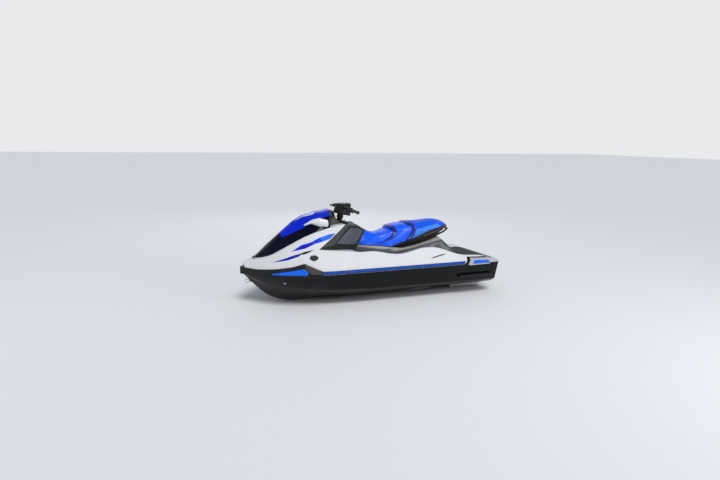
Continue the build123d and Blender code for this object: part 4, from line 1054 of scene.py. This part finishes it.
@dataclass
class Shell(Assembly):
    """The hull and deck mouldings and the trims round their joint, with their screws."""

    nodes: tuple[Redrawn, ...] = (
        Redrawn("hull", "hull_moulding", GELCOAT_BLACK, "hull_black", 0.005),
        Redrawn("deck", "deck_moulding", GELCOAT_WHITE, "deck_white", 0.006, angle=18.0, segments=3),
        Redrawn("bow_bumper", "bow_bumper_rubber", RUBBER_BLACK, "bumper_black", 0.004),
        Redrawn("rub_strips", "rub_strip_pvc", STRIP_BLUE, "bright_blue", 0.004),
        Redrawn("bumper_inserts", "bumper_insert_pvc", BLUE_TRIM, "bright_blue", 0.0015),
        Redrawn("stern_chevrons", "stern_chevron_gel", GELCOAT_BLACK, "hull_black", 0.0015),
        Redrawn("stern_caps", "stern_cap_silver", SILVER_TRIM, "silver_trim", 0.002),
        Redrawn("stern_inserts", "stern_insert_pvc", BLUE_TRIM, "bright_blue", 0.0015),
        Redrawn("sponsons", "sponson_fins", RUBBER_BLACK, "bumper_black", 0.004),
    )
    cap_radius: float = 0.047
    cap_flatness: float = 0.62
    cap_probe: SidePoint = (0.03, 0.02)
    outlet_place: SidePoint = (1.155, 0.285)
    outlet_round: int = 32
    screw: Screw = Screw(0.006, BLACK_OXIDE, "stainless")
    screw_places: tuple[tuple[str, tuple[SidePoint, ...]], ...] = (
        ("bow_bumper", ((0.82, 0.372), (1.00, 0.372), (1.18, 0.372), (1.36, 0.375), (1.47, 0.378))),
        ("rub_strips", ((0.74, 0.409), (-0.955, 0.409))),
        ("sponsons", ((-1.00, 0.236), (-1.17, 0.236), (-1.34, 0.236))),
    )

    def add_details(self) -> None:
        """Add the screws, the cooling outlet and the filler cap."""
        for node, places in self.screw_places:
            self.screw.drive(f"{node}_screws", self.drawn[node], places)
        self.add_outlet()
        self.add_fuel_cap()

    def add_outlet(self) -> None:
        """Set the cooling water outlet in the hull's port flank."""
        spot = flank_spots(self.drawn["hull"], [self.outlet_place], Side.PORT)[0]
        profile = [
            (0.005, -0.004), (0.013, -0.004), (0.013, 0.002), (0.010, 0.005), (0.006, 0.005), (0.005, 0.002),
            (0.005, -0.004),
        ]
        outlet = turned("cooling_outlet", profile, facing(*spot), self.outlet_round)
        dress(outlet, STAINLESS)

    def add_fuel_cap(self) -> None:
        """Lay the oval filler cap with its finger bar on the deck's port shoulder."""
        low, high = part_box("fuel_cap")
        middle = (Vector(low) + Vector(high)) / 2
        ahead, above = middle.x + self.cap_probe[0], middle.z + self.cap_probe[1]
        places = [(middle.x, middle.z), (ahead, middle.z), (middle.x, above)]
        place, fore, rise = [spot for spot, _ in flank_spots(self.drawn["deck"], places, Side.PORT)]
        along = (fore - place).normalized()
        out = along.cross(rise - place).normalized()
        out = out if out.y > 0 else -out
        axis = Matrix((along, out.cross(along), out)).transposed().to_4x4()
        oval = Matrix.Translation(place) @ axis @ Matrix.Diagonal((1, self.cap_flatness, 1, 1))
        radius = self.cap_radius
        rim = [
            (0, -0.020), (radius, -0.020), (radius, 0.001), (radius - 0.003, 0.004), (radius - 0.008, 0.004),
            (radius - 0.010, 0.001), (0, 0.001),
        ]
        lid = [(0, 0), (radius - 0.011, 0), (radius - 0.012, 0.005), (radius - 0.016, 0.007), (0, 0.007)]
        half = [(-0.030, -0.007), (-0.026, -0.010), (0.026, -0.010), (0.030, -0.007)]
        outline = [oval @ Vector((x, y, 0.006)) for x, y in half + [(-x, -y) for x, y in half]]
        bar = outline_plate("fuel_cap_bar", outline, out * 0.006, 0.0015)
        discs = [turned("fuel_cap_disc", profile, oval, LARGE_ROUND) for profile in (rim, lid)]
        dress(joined("fuel_cap_abs", discs + [bar]), ABS_BLACK, replaced=["fuel_cap"])


@dataclass
class Hood(Assembly):
    """The hinged hood: navy shroud, blue top, mirror shells and mirrors."""

    nodes: tuple[Redrawn, ...] = (
        Redrawn(
            "hood_shroud", "hood_shroud_gel", NAVY_GLOSS, "shroud_navy", 0.003, Body.HOOD, 20.0, 3, False,
        ),
        Redrawn("hood_top", "hood_top_gel", BLUE_HOOD, "hood_blue", 0.003, Body.HOOD, 20.0, 3, False),
        Redrawn("mirror_glass", "mirror_panes", MIRROR, "mirror", body=Body.HOOD),
    )
    voxel: float = 0.004
    rounds: int = 3

    def add_details(self) -> None:
        """Add the mirrors' shells."""
        for side in Side:
            node = f"mirror_shell_{side.name.lower()}"
            shell = moulded(self.frame, node, f"{node}_abs", self.voxel, self.rounds)
            dress(shell, SHELL_WHITE, Body.HOOD, [node])


@dataclass
class Cockpit(Assembly):
    """Console, dash and steering."""

    nodes: tuple[Redrawn, ...] = (
        Redrawn("console", "console_abs", ABS_GREY, "console_grey", 0.003),
        Redrawn("glove_lid", "glove_lid_abs", GLOVE_GREY, "console_grey", 0.0015, Body.GLOVE_LID),
        Redrawn("dash", "dash_abs", DASH_BLACK, "black_plastic", 0.005),
        Redrawn("gauge", "gauge_screen", SCREEN, "screen", 0.002),
        Redrawn("steering_column", "column_boot", ABS_BLACK, "black_plastic", 0.003, Body.STEERING),
        Redrawn("handlebar", "handlebar_tube", ABS_BLACK, "black_plastic", 0.0, Body.STEERING),
        Redrawn("lever_housings", "lever_clamps", ABS_BLACK, "black_plastic", 0.002, Body.STEERING),
    )
    screw: Screw = Screw(0.005, ABS_BLACK, "black_plastic")
    screw_places: tuple[SidePoint, ...] = ((0.440, 0.828), (0.672, 0.662), (0.196, 0.812))
    pad_voxel: float = 0.004
    pad_rounds: int = 4
    gauge_middle: Point = (0.4860, 0.0, 0.9832)
    gauge_rise: Point = (0.3745, 0.0, 0.9272)
    gauge_out: Point = (-0.9272, 0.0, 0.3745)
    key_offset: float = 0.046
    steer_place: Point = (0.398, 0.0, 0.915)
    steer_axis: Point = (-0.2079, 0.0, 0.9781)
    boot_foot: float = 0.016
    boot_folds: int = 4
    boot_round: int = 40
    grip_end: Point = (0.322, 0.388, 1.031)
    grip_ribs: int = 15
    grip_round: int = 28
    bar_bend: Point = (0.378, 0.150, 1.060)
    lever_line: tuple[Point, ...] = (
        (0.366, 0.262, 1.050), (0.392, 0.268, 1.056), (0.402, 0.292, 1.056), (0.396, 0.340, 1.048),
        (0.376, 0.392, 1.040),
    )

    def add_details(self) -> None:
        """Add the screws, the handlebar's pad, the display, the boot, the grips and the levers."""
        self.screw.drive("console_screws", self.drawn["console"], self.screw_places)
        pad = moulded(self.frame, "handlebar_pad", "handlebar_pad_abs", self.pad_voxel, self.pad_rounds)
        dress(pad, ABS_BLACK, Body.STEERING, ["handlebar_pad"])
        self.add_gauge_face()
        self.add_boot()
        self.add_grips()
        self.add_levers()

    def gauge_points(self, places: Sequence[SidePoint]) -> list[Vector]:
        """Return points on the display's face from (across, up) places."""
        return [
            Vector(self.gauge_middle) + Vector((0, across, 0)) + Vector(self.gauge_rise) * up
            for across, up in places
        ]

    def add_gauge_face(self) -> None:
        """Put the bezel, the liquid crystal panel and two keys on the display."""
        out = Vector(self.gauge_out)
        half = [(-0.056, -0.017), (-0.050, -0.019), (0.050, -0.019), (0.056, -0.017)]
        rim = self.gauge_points(half + [(-y, -h) for y, h in half])
        dress(tube("gauge_bezel", rim, 0.0026, ring=True), ABS_BLACK)
        corners = self.gauge_points([(-0.036, -0.013), (0.036, -0.013), (0.036, 0.013), (-0.036, 0.013)])
        dress(outline_plate("gauge_panel", corners, out * 0.0012, 0.0004), SCREEN_PANEL)
        profile = [(0, 0), (0.005, 0), (0.005, 0.0016), (0.004, 0.0024), (0, 0.0024)]
        places = self.gauge_points([(self.key_offset * side, 0) for side in Side])
        keys = [turned("gauge_key", profile, facing(place, out), SMALL_ROUND) for place in places]
        dress(joined("gauge_keys", keys), GRIP_RUBBER)

    def add_boot(self) -> None:
        """Fold the rubber boot round the steering column."""
        profile = [(0.0325, self.boot_foot)]
        for fold in range(self.boot_folds):
            foot = self.boot_foot + 0.0098 * fold
            width = 0.044 - 0.0022 * fold
            profile += [(width, foot + 0.0025), (width, foot + 0.0050), (0.0345, foot + 0.0080)]
        profile += [(0.0325, self.boot_foot + 0.041)]
        boot = turned("column_bellows", profile, facing(self.steer_place, self.steer_axis), self.boot_round)
        dress(boot, GRIP_RUBBER, Body.STEERING)

    def add_grips(self) -> None:
        """Turn the ribbed grips with their end flanges."""
        profile = [(0, 0), (0.0195, 0), (0.0205, 0.003), (0.0190, 0.006)]
        for rib in range(self.grip_ribs):
            foot = 0.010 + 0.007 * rib
            profile += [
                (0.0160, foot), (0.0172, foot + 0.0015), (0.0172, foot + 0.0040), (0.0160, foot + 0.0055),
            ]
        profile += [(0.0190, 0.1170), (0.0205, 0.1190), (0.0205, 0.1225), (0.0180, 0.1250), (0, 0.1250)]
        grips = []
        for side in Side:
            end, bend = [Vector((x, y * side, z)) for x, y, z in (self.grip_end, self.bar_bend)]
            grips.append(turned("grip", profile, facing(end, bend - end), self.grip_round))
        dress(joined("grip_sleeves", grips), GRIP_RUBBER, Body.STEERING, ["grips"])

    def add_levers(self) -> None:
        """Make the throttle and reverse levers and the start and stop buttons."""
        levers = [
            tube("lever", [(x, y * side, z) for x, y, z in self.lever_line], 0.0052) for side in Side
        ]
        dress(joined("lever_blades", levers), ABS_BLACK, Body.STEERING)
        profile = [(0, 0), (0.006, 0), (0.006, 0.006), (0.0045, 0.008), (0, 0.008)]
        for name, x, finish in (("stop_button", 0.344, RED_BUTTON), ("start_button", 0.360, GREEN_BUTTON)):
            button = turned(name, profile, facing((x, 0.252, 1.066), (-0.25, 0, 1)), SMALL_ROUND)
            dress(button, finish, Body.STEERING)


@dataclass
class Saddle(Assembly):
    """The seat cushions, their base, the pedestal and the handle.

    The cushions' steps are tables of the angle in degrees round the hub line, from straight
    up, and a place along X or a shift, in metres. A start or an end is where a smooth step
    begins, in metres from its line, and the step's length.
    """

    nodes: tuple[Redrawn, ...] = (
        Redrawn("pedestal", "pedestal_moulding", PEDESTAL_GREY, "pedestal_grey", 0.005),
        Redrawn("seat_base", "seat_base_abs", ABS_BLACK, "black_plastic", 0.005),
        Redrawn("grab_handle", "grab_handle_abs", ABS_BLACK, "black_plastic"),
    )
    voxel: float = 0.0065
    rounds: int = 6
    hub_z: float = 0.60
    split: SidePoint = (-0.390, 0.771)
    split_rake: float = 0.15
    scoop_depth: float = 0.016
    scoop_start: SidePoint = (-0.004, 0.050)
    scoop_end: SidePoint = (0.16, 0.20)
    bolster_rise: float = 0.006
    bolster_start: SidePoint = (-0.05, 0.05)
    bolster_end: SidePoint = (0.05, 0.14)
    rear_rise: float = 0.010
    rear_end: SidePoint = (0.0, 0.22)
    bulge_end: SidePoint = (0.02, 0.15)
    hub_margin: float = 0.02
    underside: float = -0.4
    end_facing: float = 0.8
    stitched_reach: float = 0.010
    split_reach: float = 0.02
    piping_radius: float = 0.0028
    hem_radius: float = 0.0055
    hem_lift: float = 0.010
    hem_shift: SidePoint = (0.003, -0.006)
    lip_radius: float = 0.0022
    scoop_edge: tuple[SidePoint, ...] = (
        (0, -0.205), (25, -0.222), (38, -0.248), (48, -0.264), (56, -0.236), (65, -0.172), (73, -0.105),
        (81, -0.020), (83, 0.400),
    )
    rear_seam: tuple[SidePoint, ...] = (
        (0, -0.505), (20, -0.512), (33, -0.518), (43, -0.520), (55, -0.495), (68, -0.440), (78, -0.410),
    )
    rear_bulge: tuple[SidePoint, ...] = (
        (0, 0.015), (20, 0.025), (31, 0.04), (35, 0.072), (43, 0.095), (55, 0.076), (73, 0.02), (90, 0.0),
    )
    front_hem: tuple[SidePoint, ...] = ((0.258, 0.631), (0.004, 0.610), (-0.170, 0.585), (-0.352, 0.637))
    rear_hem: tuple[SidePoint, ...] = ((-0.395, 0.648), (-0.528, 0.681), (-0.711, 0.748), (-0.990, 0.796))
    pan_lip: tuple[SidePoint, ...] = ((-0.640, 0.690), (-0.760, 0.722), (-0.870, 0.752), (-0.985, 0.786))
    stitch_offset: float = 0.0085
    stitch: Stitch = Stitch()

    def add_details(self) -> None:
        """Add the cushions with their trims, and a light tan line round the seat's pan, a painted highlight
        of its lip.
        """
        self.add_cushion("seat_front", VINYL_FRONT, self.scoop_edge[:-1], self.front_hem)
        self.add_cushion("seat_rear", VINYL_REAR, self.rear_seam, self.rear_hem)
        # A light tan tube along the seat pan's lip on each side, a painted highlight where the lip catches
        # the light
        for side in Side:
            line = flank_line(self.drawn["seat_base"], self.pan_lip, side)
            lip = tube(f"seat_pan_lip_{side.name.lower()}", line, self.lip_radius)
            dress(lip, PAN_LIP_HIGHLIGHT)

    def add_cushion(
        self, node: str, finish: Finish, seam: Sequence[SidePoint], hem: Sequence[SidePoint],
    ) -> None:
        """Make a cushion under its cover, with its piping, stitches and hem.

        Args:
            node: the CAD node that it follows.
            finish: its vinyl.
            seam: the piping's (angle, x) points on the port side.
            hem: the foot's (x, z) points, seen from the side.
        """
        cushion = moulded(self.frame, node, f"{node}_cushion", self.voxel, self.rounds)
        self.shape_steps(cushion, node == "seat_rear")
        inflated(cushion, self.is_stitched)
        baked(cushion, "SUBSURF", levels=COVER_LEVELS, render_levels=COVER_LEVELS)
        cushion.data.shade_smooth()
        dress(cushion, finish, replaced=[node])
        self.add_piping(cushion, seam)
        self.add_hem(cushion, hem)

    def add_hem(self, cushion: Piece, line: Sequence[SidePoint]) -> None:
        """Run the hem's round edge trim along a cushion's foot.

        Args:
            cushion: the cushion.
            line: the foot's (x, z) points, seen from the side.
        """
        trims = []
        for side in Side:
            points = flank_line(cushion, [(x, z + self.hem_lift) for x, z in line], side)
            lower = Vector((0, self.hem_shift[0] * side, self.hem_shift[1]))
            trims.append(tube("hem", [point + lower for point in points], self.hem_radius))
        dress(joined(cushion.name + "_hem", trims), WELT_BLUE)

    def angle(self, place: Vector) -> float:
        """Return a place's angle in degrees round the hub line, from straight up."""
        return math.degrees(math.atan2(abs(place.y), place.z - self.hub_z))

    def split_x(self, place: Vector) -> float:
        """Return where the cushions part at a place's height, before it is bulged."""
        return self.split[0] - self.split_rake * (place.z - self.split[1])

    def shape_steps(self, cushion: Piece, rear: bool) -> None:
        """Sink the rider's scoop, raise the bolsters and bow the cushions' parting line.

        Args:
            cushion: the cushion.
            rear: whether it is the rear one.
        """
        moves = []
        for vert in cushion.data.vertices:
            place, angle = vert.co, self.angle(vert.co)
            ahead = place.x - between(self.scoop_edge, angle)
            behind_split = self.split_x(place) - place.x
            if place.z < self.hub_z - self.hub_margin or vert.normal.z < self.underside:
                lift = 0.0
            elif rear:
                lift = self.rear_rise * (1 - eased(behind_split, *self.rear_end))
            else:
                scoop = eased(ahead, *self.scoop_start) * (1 - eased(ahead, *self.scoop_end))
                bolster = eased(-ahead, *self.bolster_start) * (1 - eased(-ahead, *self.bolster_end))
                lift = self.bolster_rise * bolster - self.scoop_depth * scoop
            near = 1 - eased(abs(behind_split), *self.bulge_end)
            moves.append(vert.normal * lift - Vector((between(self.rear_bulge, angle) * near, 0, 0)))
        for vert, move in zip(cushion.data.vertices, moves):
            vert.co += move

    def is_stitched(self, place: Vector, normal: Vector) -> bool:
        """Say whether the cover is held down at a place."""
        angle = self.angle(place)
        near_scoop = abs(place.x - between(self.scoop_edge, angle)) < self.stitched_reach
        bulge = between(self.rear_bulge, angle)
        near_split = abs(place.x + bulge - self.split_x(place)) < self.split_reach
        return near_scoop or near_split or normal.z < self.underside or abs(normal.x) > self.end_facing

    def add_piping(self, cushion: Piece, seam: Sequence[SidePoint]) -> None:
        """Lay the piping and a row of stitches on each side of it on a cushion.

        Args:
            cushion: the cushion.
            seam: the piping's (angle, x) points on the port side.
        """
        stops = [(x, -angle) for angle, x in reversed(seam)] + [(x, angle) for angle, x in seam[1:]]
        piping = tube(cushion.name + "_piping", wrapped_line(cushion, stops, self.hub_z), self.piping_radius)
        dress(piping, WELT_BLUE)
        rows = []
        for shift in (-self.stitch_offset, self.stitch_offset):
            beside = [(x + shift, angle) for x, angle in stops]
            rows.append(self.stitch.row("stitches", wrapped_line(cushion, beside, self.hub_z)))
        dress(joined(cushion.name + "_stitching", rows), THREAD_BLUE)


@dataclass
class Mats(Assembly):
    """Foam mats on the stern platform and in the footwells."""

    nodes: tuple[Redrawn, ...] = (
        Redrawn("stern_mat", "stern_mat_foam", STERN_FOAM, "mat_foam", 0.003),
        Redrawn("footwell_mats", "footwell_mat_foam", WELL_FOAM, "mat_foam", 0.003),
    )


@dataclass
class Machinery(Assembly):
    """The engine, the jet pump and the small metal fittings."""

    nodes: tuple[Redrawn, ...] = (
        Redrawn("storage_bin", "storage_bin_tub", ABS_BLACK, "black_plastic", 0.002),
        Redrawn("engine", "engine_block", CAST_IRON, "engine_iron", 0.004),
        Redrawn("pump_housing", "pump_casting", CAST_ALUMINIUM, "aluminium", 0.001),
        Redrawn("ride_plate", "ride_plate_casting", CAST_ALUMINIUM, "aluminium", 0.002),
        Redrawn("intake_grate", "intake_grate_bars", CAST_ALUMINIUM, "aluminium", 0.002),
        Redrawn("bow_eye", "bow_eye_steel", STAINLESS, "stainless", 0.002),
        Redrawn("stern_eyes", "stern_eyes_steel", STAINLESS, "stainless", 0.002),
        Redrawn("drain_plugs", "drain_plugs_abs", ABS_BLACK, "black_plastic", 0.001),
        Redrawn("lid_hinge_pin", "lid_hinge_steel", STAINLESS, "stainless", 0.001),
        Redrawn("hood_hinge_pin", "hood_hinge_steel", STAINLESS, "stainless", 0.001),
        Redrawn("steering_nozzle", "nozzle_casting", CAST_ALUMINIUM, "aluminium", 0.001, Body.NOZZLE),
        Redrawn("reverse_gate", "gate_casting", CAST_ALUMINIUM, "aluminium", 0.001, Body.REVERSE),
        Redrawn("impeller", "impeller_steel", STAINLESS, "stainless", 0.0, Body.PROPELLER),
        Redrawn("drive_shaft", "drive_shaft_steel", STAINLESS, "stainless", 0.001, Body.PROPELLER),
    )


def main() -> None:
    """Build the studio and the craft."""
    logging.basicConfig(level=logging.INFO, format="%(name)s %(message)s")
    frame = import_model()
    Studio().build()
    for assembly in (Shell, Hood, Cockpit, Saddle, Mats, Machinery):
        assembly(frame).build()
        LOG.info("%s built", assembly.__name__)


if __name__ == "__main__":
    main()
